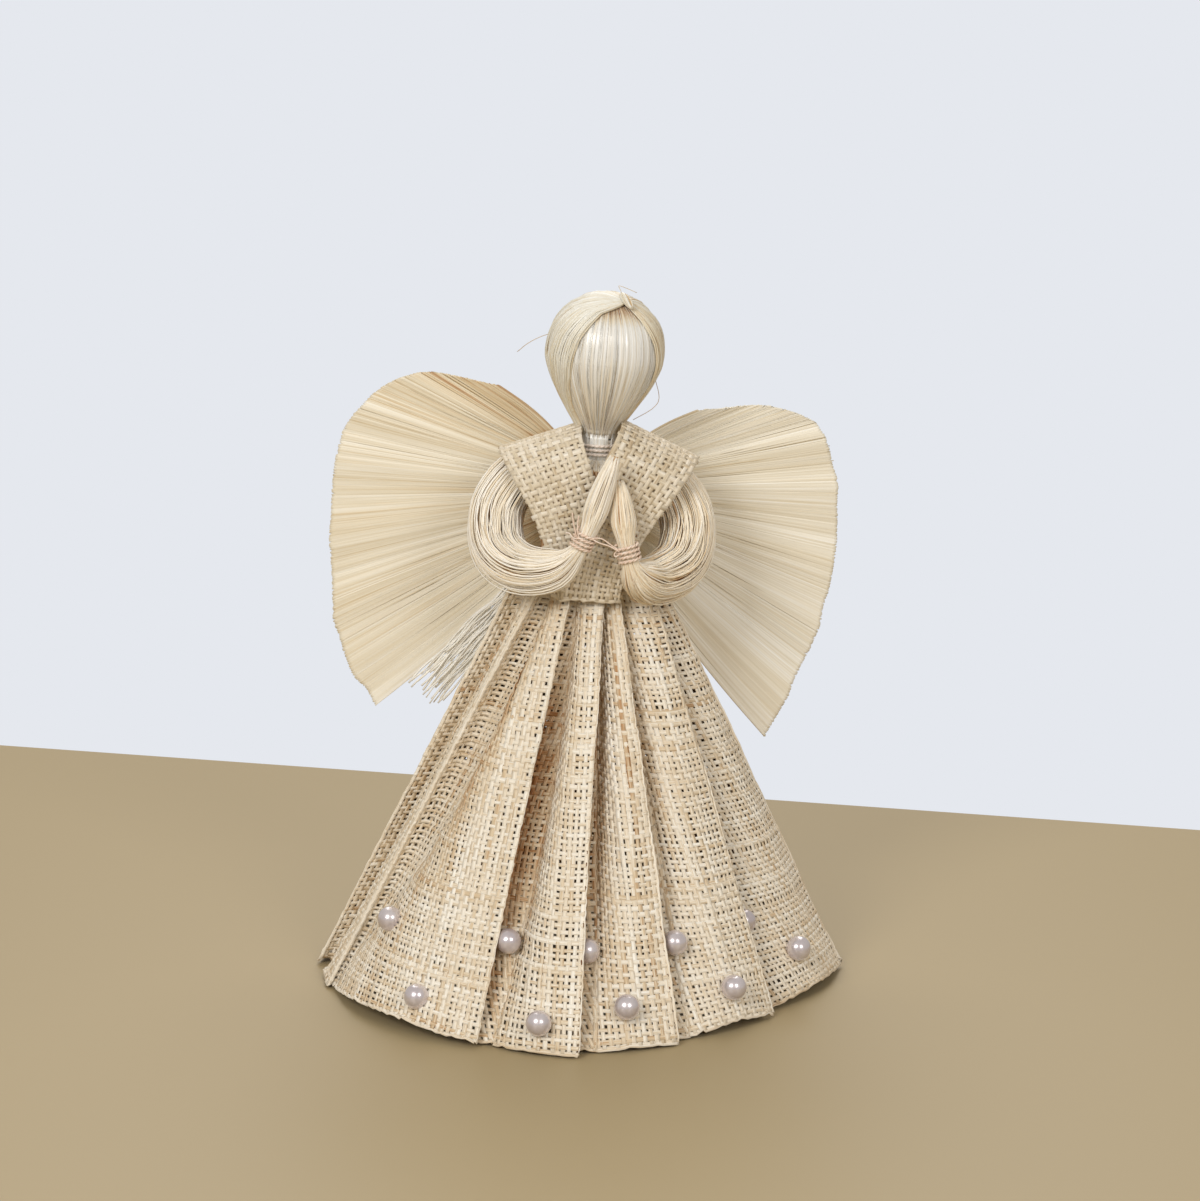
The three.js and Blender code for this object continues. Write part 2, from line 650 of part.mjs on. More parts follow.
const HEAD_SIDES = 16;
const BALL_RINGS = 12;
const HOLLOW_STEPS = 8;
const WRAP_STEPS = 14;
const wrapFoot = NECK_HEIGHT + SEAT_GAP;
const wrapRadius = BALL_RADIUS + SEAT_GAP + WRAP_THICKNESS;
const wrapTop = HEAD_HEIGHT + wrapRadius;
const wrapOutline = new THREE.SplineCurve([
  new THREE.Vector2(NECK_RADIUS, wrapFoot),
  ...WRAP_TAPER.map(
    ({ rise, swell }) =>
      new THREE.Vector2(mix(NECK_RADIUS, wrapRadius, swell), mix(wrapFoot, HEAD_HEIGHT, rise)),
  ),
  ...WRAP_ROUND_ANGLES.map((angle) => {
    const tilt = radians(angle);
    return new THREE.Vector2(wrapRadius * Math.sin(tilt), HEAD_HEIGHT + wrapRadius * Math.cos(tilt));
  }),
]);

function headCore() {
  const ball = piece("head_core", new THREE.SphereGeometry(BALL_RADIUS, HEAD_SIDES, BALL_RINGS), BALL);
  ball.position.z = HEAD_HEIGHT;
  return ball;
}

function headWrap() {
  const hollow = BALL_RADIUS + SEAT_GAP;
  const boreAngle = Math.asin(WRAP_BORE / hollow);
  const inside = steps(HOLLOW_STEPS).map((share) => {
    const angle = share * (Math.PI - boreAngle);
    return new THREE.Vector2(hollow * Math.sin(angle), HEAD_HEIGHT + hollow * Math.cos(angle));
  });
  const foot = new THREE.Vector2(WRAP_BORE, wrapFoot);
  const profile = [...inside, foot, ...wrapOutline.getPoints(WRAP_STEPS)];
  profile[0].x = 0;
  profile[profile.length - 1].x = 0;
  const wrap = new THREE.LatheGeometry(profile, HEAD_SIDES).rotateX(Math.PI / 2);
  return piece("head_wrap", wrap, PALE_FIBRE);
}

const OUTLINE_HALVINGS = 30;

// The share of the wrap's outline, from its foot to its top, at which it reaches a height
function outlineShare(z) {
  let low = 0;
  let high = 1;
  for (let i = 0; i < OUTLINE_HALVINGS; i++) {
    const middle = (low + high) / 2;
    [low, high] = wrapOutline.getPoint(middle).y < z ? [middle, high] : [low, middle];
  }
  return low;
}

// The place and outward direction on the wrap at a share of its outline and an angle from the front
function onHead(share, angle) {
  const { x: radius, y: z } = wrapOutline.getPoint(share);
  const tangent = wrapOutline.getTangent(share);
  const round = point(Math.sin(angle), -Math.cos(angle), 0);
  const place = round.clone().multiplyScalar(radius).setZ(z);
  const out = round.multiplyScalar(tangent.y).setZ(-tangent.x);
  return { place, out, radius };
}

// The hairline's angle at a height
function hairline(line, z) {
  const share = (z - HEAD_HEIGHT) / wrapRadius;
  const k = line.findIndex((mark) => mark.share < share);
  if (k === 0) return line[0].angle;
  if (k < 0) return line[line.length - 1].angle;
  const [above, below] = [line[k - 1], line[k]];
  return mix(above.angle, below.angle, (share - above.share) / (below.share - above.share));
}

const HAIR_ROWS = 9;
const HAIR_COLUMNS = 9;
function hair(name, side, line) {
  const crown = outlineShare(wrapTop - HAIR_CROWN_DROP);
  const nape = outlineShare(wrapFoot + HAIR_NAPE_RISE);
  const face = (lift) =>
    steps(HAIR_ROWS).map((down) =>
      steps(HAIR_COLUMNS).map((across) => hairPoint(side, line, mix(crown, nape, down), across, lift)),
    );
  return piece(name, sheet(face(SEAT_GAP + HAIR_THICKNESS), face(SEAT_GAP)), HAIR_FIBRE);
}

// A place in the hair, across from its front edge to the seam at the back
function hairPoint(side, line, share, across, lift) {
  const { place: profile, radius } = onHead(share, 0);
  const apart = (side * SEAT_GAP) / (2 * radius);
  const front = radians(hairline(line, profile.z)) + apart;
  const back = radians(PARTING_ANGLE + side * 180) - apart;
  const { place, out } = onHead(share, mix(front, back, across));
  return place.addScaledVector(out, lift);
}

const KNOT_SIDES = 8;
const KNOT_RINGS = 6;
function hairKnot() {
  const knotHeight = HEAD_HEIGHT + wrapRadius * Math.cos(radians(KNOT_TILT));
  const { place, out } = onHead(outlineShare(knotHeight), radians(PARTING_ANGLE));
  const seat = 2 * SEAT_GAP + HAIR_THICKNESS + KNOT_HALF_WIDTH;
  const ball = new THREE.SphereGeometry(KNOT_HALF_WIDTH, KNOT_SIDES, KNOT_RINGS);
  ball.scale(1, KNOT_HALF_LENGTH / KNOT_HALF_WIDTH, 1);
  const knot = piece("hair_knot", ball, HAIR_FIBRE);
  const round = point(Math.cos(radians(PARTING_ANGLE)), Math.sin(radians(PARTING_ANGLE)), 0);
  knot.quaternion.setFromRotationMatrix(new THREE.Matrix4().makeBasis(round, out.clone().cross(round), out));
  knot.position.copy(place).addScaledVector(out, seat);
  return knot;
}

// Wings

const bodiceBack = TORSO_HALF_DEPTH + 2 * (STRIP_THICKNESS + SEAT_GAP);
const gatherGrooveDepth = GATHER_HALF_DEPTH - GATHER_GROOVE;
const wingY = bodiceBack + SEAT_GAP + THREAD_DIAMETER + SEAT_GAP + gatherGrooveDepth;
const gatherZ = (WING_ROOT_BOTTOM + WING_ROOT_TOP) / 2;
const gatherHalfHeight = (WING_ROOT_TOP - WING_ROOT_BOTTOM) / 2;
const wingHinge = GATHER_HALF_LENGTH + SEAT_GAP + WING_ROOT_THICKNESS / 2;
const grooveHalf = windingLength(GATHER_LOOPS) / 2;
const GATHER_SIDES = 14;

// The bound middle of the hank, lying along X with a groove for its tie
function wingGather() {
  const sections = [
    [-GATHER_HALF_LENGTH, 0],
    [-grooveHalf, GATHER_GROOVE],
    [grooveHalf, GATHER_GROOVE],
    [GATHER_HALF_LENGTH, 0],
  ];
  const rings = sections.map(([along, groove]) =>
    ellipse(gatherHalfHeight - groove, GATHER_HALF_DEPTH - groove, along, GATHER_SIDES),
  );
  return piece("wing_gather", loft(rings), WING_FIBRE);
}

function wingTie() {
  return winding("wing_tie", gatherHalfHeight - GATHER_GROOVE, gatherGrooveDepth, GATHER_LOOPS);
}

const WING_COLUMNS = 4 * WING_RIPPLES;
const WING_ROWS = 5;
function wing(name, side, marks) {
  const edge = new THREE.SplineCurve(marks.map(([x, z]) => new THREE.Vector2(x, z)));
  const sweep = Math.tan(radians(WING_SWEEP));
  const face = (towards) =>
    steps(WING_COLUMNS).map((round) => {
      const root = new THREE.Vector2(wingHinge, mix(WING_ROOT_BOTTOM, WING_ROOT_TOP, round));
      const end = edge.getPoint(round);
      return steps(WING_ROWS).map((out) => {
        const flat = root.clone().lerp(end, out);
        const ripple = WING_RIPPLE * out * Math.sin(2 * Math.PI * WING_RIPPLES * round);
        const half = mix(WING_ROOT_THICKNESS, WING_THICKNESS, out) / 2;
        const y = wingY + (flat.x - wingHinge) * sweep + ripple + towards * half;
        return point(side * flat.x, y, flat.y);
      });
    });
  return piece(name, sheet(face(-1), face(1)), WING_FIBRE);
}

// Tail

const STRAND_SIDES = 4;
const STRAND_STEPS = 6;
const ROOT_SIDES = 8;
function tailFringe() {
  const fan = point(Math.cos(radians(TAIL_FAN_ANGLE)), 0, -Math.sin(radians(TAIL_FAN_ANGLE)));
  const root = point(TAIL_ROOT.x, bodiceBack + SEAT_GAP + TAIL_ROOT.radius, TAIL_ROOT.z);
  const route = [root, ...TAIL_BEND.map((bend) => point(...bend))];
  const strands = steps(TAIL_STRANDS - 1).map((share) => {
    const spread = route.map((place, k) => {
      const width = mix(TAIL_ROOT_WIDTH, TAIL_END_WIDTH, k / (route.length - 1));
      return place.clone().addScaledVector(fan, (share - 0.5) * width);
    });
    const path = new THREE.CatmullRomCurve3(spread).getPoints(STRAND_STEPS);
    const radii = path.map((_, i) => TAIL_STRAND_RADIUS * (1 - (TAIL_STRAND_TAPER * i) / STRAND_STEPS));
    return loft(ringsAlong(path, radii, STRAND_SIDES));
  });
  const rootHalf = TAIL_ROOT_WIDTH / 2 + TAIL_STRAND_RADIUS;
  const rootEnds = [-1, 1].map((end) => root.clone().addScaledVector(fan, end * rootHalf));
  const base = loft(ringsAlong(rootEnds, [TAIL_ROOT.radius, TAIL_ROOT.radius], ROOT_SIDES));
  return piece("tail_fringe", fuse([base, ...strands]), WING_FIBRE);
}

// Assembly

const figure = new THREE.Group();
figure.position.set(SKIRT_SHIFT, 0, SKIRT_HEIGHT - SKIRT_LAP);
figure.rotation.y = radians(FIGURE_LEAN);

const gather = new THREE.Group();
gather.position.set(0, wingY, gatherZ);
gather.quaternion.setFromRotationMatrix(
  new THREE.Matrix4().makeBasis(point(0, 0, 1), point(0, 1, 0), point(-1, 0, 0)),
);
gather.add(wingGather(), wingTie());

figure.add(
  trunk(),
  neckTie(),
  bodiceStrip("bodice_left", -1, 0),
  bodiceStrip("bodice_right", 1, 1),
  arm("arm_left", -1, HANDS.left),
  arm("arm_right", 1, HANDS.right),
  wristTie("wrist_tie_left", HANDS.left),
  wristTie("wrist_tie_right", HANDS.right),
  headCore(),
  headWrap(),
  hair("hair_left", -1, HAIRLINE.left),
  hair("hair_right", 1, HAIRLINE.right),
  hairKnot(),
  gather,
  wing("wing_left", -1, WING_EDGE.left),
  wing("wing_right", 1, WING_EDGE.right),
  tailFringe(),
);

const angel = new THREE.Group();
angel.add(skirt(), ...pearls(), figure);

// The middle of the angel's footprint is the origin
const bounds = new THREE.Box3().setFromObject(angel, true);
angel.position.set(-(bounds.min.x + bounds.max.x) / 2, -(bounds.min.y + bounds.max.y) / 2, 0);

const ornament = new THREE.Group();
ornament.add(angel);

export default ornament;
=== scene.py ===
import json
import math

import bmesh
import bpy
import numpy as np
from mathutils import Matrix, Vector


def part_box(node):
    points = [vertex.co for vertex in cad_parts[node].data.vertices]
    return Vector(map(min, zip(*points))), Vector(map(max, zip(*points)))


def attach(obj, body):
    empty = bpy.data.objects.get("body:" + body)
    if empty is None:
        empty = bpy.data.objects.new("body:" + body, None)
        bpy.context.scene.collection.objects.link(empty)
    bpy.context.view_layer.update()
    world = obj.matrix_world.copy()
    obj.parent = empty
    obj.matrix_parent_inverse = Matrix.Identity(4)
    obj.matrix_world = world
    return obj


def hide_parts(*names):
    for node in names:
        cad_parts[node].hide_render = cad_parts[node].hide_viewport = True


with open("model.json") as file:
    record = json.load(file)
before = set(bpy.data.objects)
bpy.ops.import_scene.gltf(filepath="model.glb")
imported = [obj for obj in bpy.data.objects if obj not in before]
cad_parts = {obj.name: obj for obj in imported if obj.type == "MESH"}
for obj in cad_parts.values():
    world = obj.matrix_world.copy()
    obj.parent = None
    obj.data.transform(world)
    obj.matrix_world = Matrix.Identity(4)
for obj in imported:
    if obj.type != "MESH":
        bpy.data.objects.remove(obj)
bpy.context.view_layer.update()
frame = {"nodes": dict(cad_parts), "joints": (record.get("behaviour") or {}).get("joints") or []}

# The view: the camera stands a little above the ornament and looks down at it by twelve degrees.
# Two soft lights hang high in front of it, the left one stronger, and a broad one above and behind it.
MM = 0.001
CAMERA_PLACE, CAMERA_PITCH, CAMERA_LENS, CAMERA_NEAR = (3.51, -542.93, 178.6), 78, 101.2, 0.01
LIGHT_AIM = Vector((0, 0, 0.06))
LIGHTS = [
    ("left_light", (-0.311, -0.585, 0.44), 0.26, 2.6, (1.0, 0.99, 0.97)),
    ("right_light", (0.319, -0.6, 0.4), 0.26, 1.4, (1.0, 0.99, 0.98)),
    ("back_light", (0.0, 0.42, 0.5), 0.5, 2.0, (1.0, 0.98, 0.95)),
]
ROOM_COLOUR, ROOM_STRENGTH, WALL_COLOUR = (242, 237, 230), 0.52, (229, 232, 238)
collection = bpy.context.scene.collection
camera = bpy.data.objects.new("camera", bpy.data.cameras.new("camera"))
camera.location = [part * MM for part in CAMERA_PLACE]
camera.rotation_euler = (math.radians(CAMERA_PITCH), 0, 0)
camera.data.lens = CAMERA_LENS
camera.data.clip_start = CAMERA_NEAR
collection.objects.link(camera)
bpy.context.scene.camera = camera
bpy.context.scene.view_settings.view_transform = "Standard"

for name, place, size, power, colour in LIGHTS:
    lamp = bpy.data.lights.new(name, "AREA")
    lamp.size, lamp.energy, lamp.color = size, power, colour
    lit = bpy.data.objects.new(name, lamp)
    lit.location = place
    lit.rotation_euler = (LIGHT_AIM - Vector(place)).to_track_quat("-Z", "Y").to_euler()
    collection.objects.link(lit)


def linear(red, green, blue):
    parts = np.array([red, green, blue]) / 255
    return (*np.where(parts < 0.04045, parts / 12.92, ((parts + 0.055) / 1.055) ** 2.4), 1.0)


def dial(node, values):
    for name, value in values.items():
        node.inputs[name].default_value = value


def join(links, rows):
    for source, leaving, target, entering in rows:
        links.new(source.outputs[leaving], target.inputs[entering])


room = bpy.data.worlds.new("room")
room.use_nodes = True
nodes = room.node_tree.nodes
room_light, wall = nodes["Background"], nodes.new("ShaderNodeBackground")
seen, either = nodes.new("ShaderNodeLightPath"), nodes.new("ShaderNodeMixShader")
dial(room_light, {"Color": linear(*ROOM_COLOUR), "Strength": ROOM_STRENGTH})
dial(wall, {"Color": linear(*WALL_COLOUR)})
join(room.node_tree.links, [
    (seen, "Is Camera Ray", either, "Fac"), (room_light, "Background", either, 1), (wall, "Background", either, 2),
    (either, "Shader", nodes["World Output"], "Surface"),
])
bpy.context.scene.world = room


# The floor: a plain pale table top that ends a little way behind the ornament, only to show it on.
# It is no part of the ornament, and nothing is fixed to it.
FLOOR_FRONT, FLOOR_BACK, FLOOR_HALF = -900, 117, 900
FLOOR_SLANT, FLOOR_DROP = 0.27, 0.1
TABLE_COLOUR, TABLE_ROUGHNESS = (166, 148, 112), 0.5


def finish_of(name):
    made = bpy.data.materials.new(name)
    made.use_nodes = True
    return made, made.node_tree.nodes, made.node_tree.links, made.node_tree.nodes["Principled BSDF"]


def new_piece(name, bm, finish):
    mesh = bpy.data.meshes.new(name)
    bm.to_mesh(mesh)
    bm.free()
    mesh.materials.append(finish)
    mesh.polygons.foreach_set("use_smooth", [True] * len(mesh.polygons))
    made = bpy.data.objects.new(name, mesh)
    collection.objects.link(made)
    return made


table_top, nodes, links, shader = finish_of("table_top")
dial(shader, {"Roughness": TABLE_ROUGHNESS, "Base Color": linear(*TABLE_COLOUR)})
bm = bmesh.new()
bmesh.ops.create_grid(bm, x_segments=1, y_segments=1, size=1)
for vert in bm.verts:
    back = FLOOR_BACK - FLOOR_SLANT * FLOOR_HALF * vert.co.x
    vert.co = Vector((FLOOR_HALF * vert.co.x, FLOOR_FRONT if vert.co.y < 0 else back, -FLOOR_DROP)) * MM
new_piece("floor", bm, table_top)


# The skirt: one strip of open plain-woven raffia in thirteen knife pleats, gathered and glued at the waist.
# Its threads are flat split leaf, some broad and closed up, some thin with small square holes between.
# The warp runs from hem to waist along each ridge, the weft runs round through all folds, and painted shade darkens the
# inside and the folds.
neck_joint = next(joint for joint in frame["joints"] if joint["name"] == "head_turn")
NECK_TURN_HEIGHT = 25.55
lean_axis = np.array(neck_joint["axis"])
figure_foot = np.array(neck_joint["pos_m"]) / MM - lean_axis * NECK_TURN_HEIGHT

SKIRT_HEIGHT, SKIRT_SHIFT, SKIRT_ROWS = 66.5, 1.2, 78
WAIST_HALF_WIDTH, WAIST_HALF_DEPTH = 12.5, 7.2
PLEAT_BOW = 0.5
BACK_FOLDS = 6
# The angles of the front ridges from left to right at hem and waist, and what else each fold has, last the back ones
FRONT_HEM = [-93, -76, -21.6, 0.4, 22.5, 52, 92]
FRONT_WAIST = [-78, -38, -10, 15, 26, 62, 92]
# The shade of each fold is painted shade, dark behind its ridge and beside the valley that follows
FOLDS = {
    "reach": ([44.2, 42.8, 42.8, 44.8, 41.7, 40.2, 44], 45.4),
    "deep": ([2.4, 0.9, 1.6, 2.6, 2.2, 2.4, 2.6], 2.8),
    "tuck": ([0.9, 0.3, 0.6, 1, 0.8, 1, 0.9], 0.9),
    "floor": ([0.8, 0.8, 2.4, 3.4, 3.6, 2.4, 0.8], 2.8),
    "draw": ([1.5, 1.4, 4, 4.2, 2.4, 2, 2.2], 1.2),
    "behind": ([0, 0, 3.4, 3.6, 2.6, 0.8, 0], 1.2),
    "open": ([0, 5, 1.2, 0.4, 1.2, 0.5, 0.4], 1),
    "rise": ([0.4, 2.0, 0.3, 0.4, 1.2, 1.3, 0.5], 0.6),
    "shade": ([0.08, 0.05, 0.48, 0.48, 0.3, 0.26, 0.15], 0.3),
}
WAIST_DEEP, WAIST_TUCK, WAIST_FLOOR = 3.6, 0.4, 0.5
HEM_CREASE, WAIST_CREASE = 0.6, 0.4
HEM_LIFT = 0.62
# Painted shade where the broad face left of the middle sags: which pleat it is, how dark, where across the face, and
# how wide
HOLLOW_PLEAT, HOLLOW_SHADE, HOLLOW_AT, HOLLOW_HALF = 1, 0.24, 0.26, 0.2
THREAD_PITCH, THREAD_DEPTH = 0.95, 0.12
THREAD_SHARE, PATCH_SHARE, SHARE_SPREAD, SHARE_DRIFT, SHARE_LIMITS = 0.73, 0.11, 0.04, 0.07, (0.62, 0.96)
# Mean, spread and drift of the threads' tones, the length of the drift, and the limits
WARP_TONE = (0.64, 0.07, 0.07, 22, (0.1, 0.95))
WEFT_TONE = (0.66, 0.07, 0.07, 30, (0.1, 0.95))
RIDGE_TONE, RIDGE_MIX, RIDGE_HALF = 0.72, 0.4, 0.6
WARP_LIMITS, WEFT_LIMITS = (0.36, 1.0), (0.36, 1.05)
CREASE_HALF, CREASE_EASE, CREASE_REACH = 1.6, 0.75, 1.3
SWAY_DRIFT, SWAY_SPREAD, ROW_WAVE, HEM_UNEVEN, HEM_FADE = 0.09, 0.07, 0.11, 0.22, 6
FOLD_SHADE_LOW, BESIDE_SHADE, BESIDE_REACH = 0.15, 0.4, 1.6
CLOTH_DEPTH, CLOTH_BUCKLE, CLOTH_WAVE = 0.3, 0.12, 0.055
CLOTH_SHADES = [
    (0, (104, 62, 28)), (0.2, (172, 120, 68)), (0.45, (214, 192, 158)), (0.7, (236, 225, 206)), (1, (250, 246, 236)),
]
# Colours of the painted shade on the threads' inner side, which shows through the holes
PAINTED_INSIDE_SHADES = [(0, (70, 40, 20)), (0.5, (112, 74, 42)), (1, (150, 112, 72))]


def all_round(front):
    step = (front[0] + 360 - front[-1]) / (BACK_FOLDS + 1)
    return np.array(front + [front[-1] + step * (i + 1) for i in range(BACK_FOLDS)])


def round_axis(angle, half_width, half_depth, shift):
    a = np.radians(angle)
    across = half_width * np.sin(a) + shift * np.cos(a)
    return np.stack([across, -half_depth * np.cos(a) + shift * np.sin(a)], -1)


def pleat_corners(angle, width, depth, deep, crease, tuck, floor):
    after = np.append(angle[1:], angle[0] + 360)
    inner = width - deep
    inner_depth = depth * inner / width
    face = (inner + np.roll(width, -1)) / 2 + PLEAT_BOW
    face_depth = (inner_depth + np.roll(depth, -1)) / 2 + PLEAT_BOW
    return np.stack([
        round_axis(angle, width, depth, -crease),
        round_axis(angle, width, depth, 0),
        round_axis(angle, inner, inner_depth, -tuck),
        round_axis(angle, inner, inner_depth, floor - tuck),
        round_axis((angle + after) / 2, face, face_depth, 0),
    ])


fold = {name: np.array(front + [back] * BACK_FOLDS) for name, (front, back) in FOLDS.items()}
hem_folds = fold["deep"], HEM_CREASE, fold["tuck"], fold["floor"]
hem_corners = pleat_corners(all_round(FRONT_HEM), fold["reach"], fold["reach"], *hem_folds)
waist_size = (np.full(len(fold["reach"]), half) for half in (WAIST_HALF_WIDTH, WAIST_HALF_DEPTH))
waist_folds = WAIST_DEEP, WAIST_CREASE, WAIST_TUCK, WAIST_FLOOR
waist_corners = pleat_corners(all_round(FRONT_WAIST), *waist_size, *waist_folds)
FACE_STEPS, NOSE_STEPS, RETURN_STEPS, VALLEY_STEPS = 44, 3, 10, 8
RIDGE_STEP = FACE_STEPS + 1


def pleat_lines(rise):
    # The folded outline at each height, one closed line of points that starts in a fold behind a pleat
    share = np.reshape(rise, (-1, 1, 1, 1))
    corners = hem_corners * (1 - share) + waist_corners * share
    angle = np.radians(all_round(FRONT_HEM) * (1 - share[..., 0]) + all_round(FRONT_WAIST) * share[..., 0])
    inward = np.stack([-np.sin(angle), np.cos(angle)], -1)
    aside = np.stack([np.cos(angle), np.sin(angle)], -1)
    full = 4 * share[..., 0] * (1 - share[..., 0])
    low_full = 6.75 * share[..., 0] * (1 - share[..., 0]) ** 2
    draw, behind, opened = (fold[name][:, None] for name in ("draw", "behind", "open"))
    corners[:, 2] += (inward * draw)[:, 0] * full - (aside * behind)[:, 0] * low_full
    corners[:, 3] += (inward * draw + aside * opened)[:, 0] * full
    ridge, edge, tucked, valley, face = (corners[:, i, :, None, :] for i in range(5))
    ridge, edge, tucked = (np.roll(part, -1, axis=1) for part in (ridge, edge, tucked))
    next_valley = np.roll(valley, -1, axis=1)
    t = (np.arange(FACE_STEPS) / FACE_STEPS)[:, None]
    broad = valley * (1 - t) * (1 - 2 * t) + 4 * face * t * (1 - t) + ridge * t * (2 * t - 1)

    def between(a, b, count):
        u = (np.arange(count) / count)[:, None]
        return a * (1 - u) + b * u

    parts = [broad, between(ridge, edge, NOSE_STEPS), between(edge, tucked, RETURN_STEPS)]
    line = np.concatenate([*parts, between(tucked, next_valley, VALLEY_STEPS)], axis=2)
    loop = line.reshape(line.shape[0], -1, 2)
    loop = loop * 0.5 + (np.roll(loop, 1, axis=1) + np.roll(loop, -1, axis=1)) * 0.25
    return loop.reshape(line.shape)


def wander(rng, count, length, reach):
    # A slow random walk along the last axis, smooth over about a length of steps
    knots = rng.normal(0, 1, (count, max(int(np.ceil(reach / length)) + 3, 4)))
    at = np.linspace(0, knots.shape[1] - 1.001, reach)
    low = at.astype(int)
    ease = at - low
    ease = ease * ease * (3 - 2 * ease)
    return knots[:, low] * (1 - ease) + knots[:, low + 1] * ease


def thread_widths(rng, patch, length, count, reach):
    # Threads that leave small holes, with slow patches of broad and of thin ones
    share = THREAD_SHARE + PATCH_SHARE * wander(rng, 1, patch, count)[0] + rng.normal(0, SHARE_SPREAD, count)
    return (np.clip(share, *SHARE_LIMITS)[:, None] + wander(rng, count, length, reach) * SHARE_DRIFT) * THREAD_PITCH


def thread_values(rng, mean, spread, drift, length, limits, count, reach):
    # One value for each thread, which drifts along it
    return np.clip(rng.normal(mean, spread, count)[:, None] + wander(rng, count, length, reach) * drift, *limits)


def on_grid(name, places, kept, tone, lie, finish):
    # A mesh from one grid of places, with the faces between separate threads taken out
    rows, columns = places.shape[:2]
    bm = bmesh.new()
    bmesh.ops.create_grid(bm, x_segments=columns - 1, y_segments=rows - 1, size=1)
    tone_layer = bm.verts.layers.float.new("tone")
    lie_layer = bm.verts.layers.float_vector.new("lie")
    spots = (places.reshape(-1, 3) * MM).tolist()
    for vert, spot, shade, run in zip(bm.verts, spots, tone.ravel().tolist(), lie.reshape(-1, 3).tolist()):
        vert.co = spot
        vert[tone_layer] = shade
        vert[lie_layer] = run
    spare = [face for face, keep in zip(bm.faces, kept.ravel()) if not keep]
    bmesh.ops.delete(bm, geom=spare, context="FACES")
    bmesh.ops.remove_doubles(bm, verts=bm.verts, dist=1e-7)
    return new_piece(name, bm, finish)


def fibre_finish(name, shades, streak, spread, roughness, bump):
    # Colour goes by each thread's own tone, with streaks along it that differ from thread to thread
    made, nodes, links, shader = finish_of(name)
    tone = nodes.new("ShaderNodeAttribute")
    tone.attribute_name = "tone"
    lie = nodes.new("ShaderNodeAttribute")
    lie.attribute_name = "lie"
    stretch = nodes.new("ShaderNodeMapping")
    dial(stretch, {"Scale": (*streak, 31.0)})
    streaks = nodes.new("ShaderNodeTexNoise")
    dial(streaks, {"Scale": 1.0, "Detail": 3.0})
    shift = nodes.new("ShaderNodeMapRange")
    dial(shift, {"From Min": 0.25, "From Max": 0.75, "To Min": -spread, "To Max": spread})
    both = nodes.new("ShaderNodeMath")
    ramp = nodes.new("ShaderNodeValToRGB")
    while len(ramp.color_ramp.elements) < len(shades):
        ramp.color_ramp.elements.new(0.5)
    for stop, (at, colour) in zip(ramp.color_ramp.elements, shades):
        stop.position, stop.color = at, linear(*colour)
    gloss = nodes.new("ShaderNodeMapRange")
    dial(gloss, {"To Min": roughness[0], "To Max": roughness[1]})
    relief = nodes.new("ShaderNodeBump")
    dial(relief, {"Strength": bump, "Distance": 0.1 * MM})
    join(links, [
        (lie, "Vector", stretch, "Vector"), (stretch, "Vector", streaks, "Vector"),
        (streaks, "Fac", shift, "Value"), (tone, "Fac", both, 0), (shift, "Result", both, 1),
        (both, "Value", ramp, "Fac"), (ramp, "Color", shader, "Base Color"),
        (streaks, "Fac", gloss, "Value"), (gloss, "Result", shader, "Roughness"),
        (streaks, "Fac", relief, "Height"), (relief, "Normal", shader, "Normal"),
    ])
    return made


def woven(name, places, beside, out, width, height, kept, tone, finish, run):
    # Flat threads, two points wide: one to each column where they run along axis 0, one to each row along axis 1
    half = beside * width[..., None] / 2
    raised = places + out * height[..., None]
    rows, columns = width.shape
    size = (2 * rows, columns, 3) if run else (rows, 2 * columns, 3)
    spots = np.stack([raised - half, raised + half], axis=2 - run).reshape(size)
    whole = np.zeros((size[0] - 1, size[1] - 1), bool)
    whole[(slice(None, None, 1 + run), slice(None, None, 2 - run))] = kept
    steps = np.diff(places, axis=run, prepend=np.take(places, [0], axis=run))
    along = np.cumsum(np.linalg.norm(steps, axis=-1), axis=run)
    apart = np.arange(rows)[:, None] * 0.53 if run else np.arange(columns) * 0.37
    lie = np.stack([along, along * 0, along * 0 + apart], -1)
    lie = np.stack([lie - [0, 0.5, 0], lie + [0, 0.5, 0]], axis=2 - run).reshape(size)
    return on_grid(name, spots, whole, np.repeat(tone, 2, axis=1 - run), lie, finish)


def unit(vectors):
    return vectors / np.maximum(np.linalg.norm(vectors, axis=-1, keepdims=True), 1e-9)


def thicken(cloth, depth):
    wall = cloth.modifiers.new("thread_thickness", "SOLIDIFY")
    wall.thickness = depth * MM
    wall.offset = -1
    return cloth


rng = np.random.default_rng(11)
row_count = SKIRT_ROWS + 1
row_rise = np.arange(row_count) / SKIRT_ROWS
lines = pleat_lines(row_rise)
loops = lines.reshape(len(lines), -1, 2)
steps_along = np.linalg.norm(np.roll(loops, -1, axis=1) - loops, axis=-1)
run_along = np.concatenate([np.zeros((len(lines), 1)), np.cumsum(steps_along, axis=1)], axis=1)
pleat_count, pleat_steps = lines.shape[1:3]
columns_s, columns_pleat = [], []
fold_starts = np.arange(pleat_count) * pleat_steps
start_run, ridge_run, end_run = (run_along[:, fold_starts + step] for step in (0, RIDGE_STEP, pleat_steps))
face_length = ridge_run[0] - start_run[0]
for pleat in range(pleat_count):
    ahead = (ridge_run - start_run)[:, pleat].max()
    behind = (end_run - ridge_run)[:, pleat].max()
    face_threads = np.arange(int(ahead / THREAD_PITCH), -1, -1) + 0.5
    fold_threads = np.arange(int(behind / THREAD_PITCH) + 1) + 0.5
    columns_s += [*(face_threads * THREAD_PITCH), 0, *(-fold_threads * THREAD_PITCH)]
    columns_pleat += [pleat] * (len(face_threads) + len(fold_threads) + 1)
columns_s, columns_pleat = np.array(columns_s), np.array(columns_pleat)
column_count = len(columns_s)
on_crease = columns_s == 0
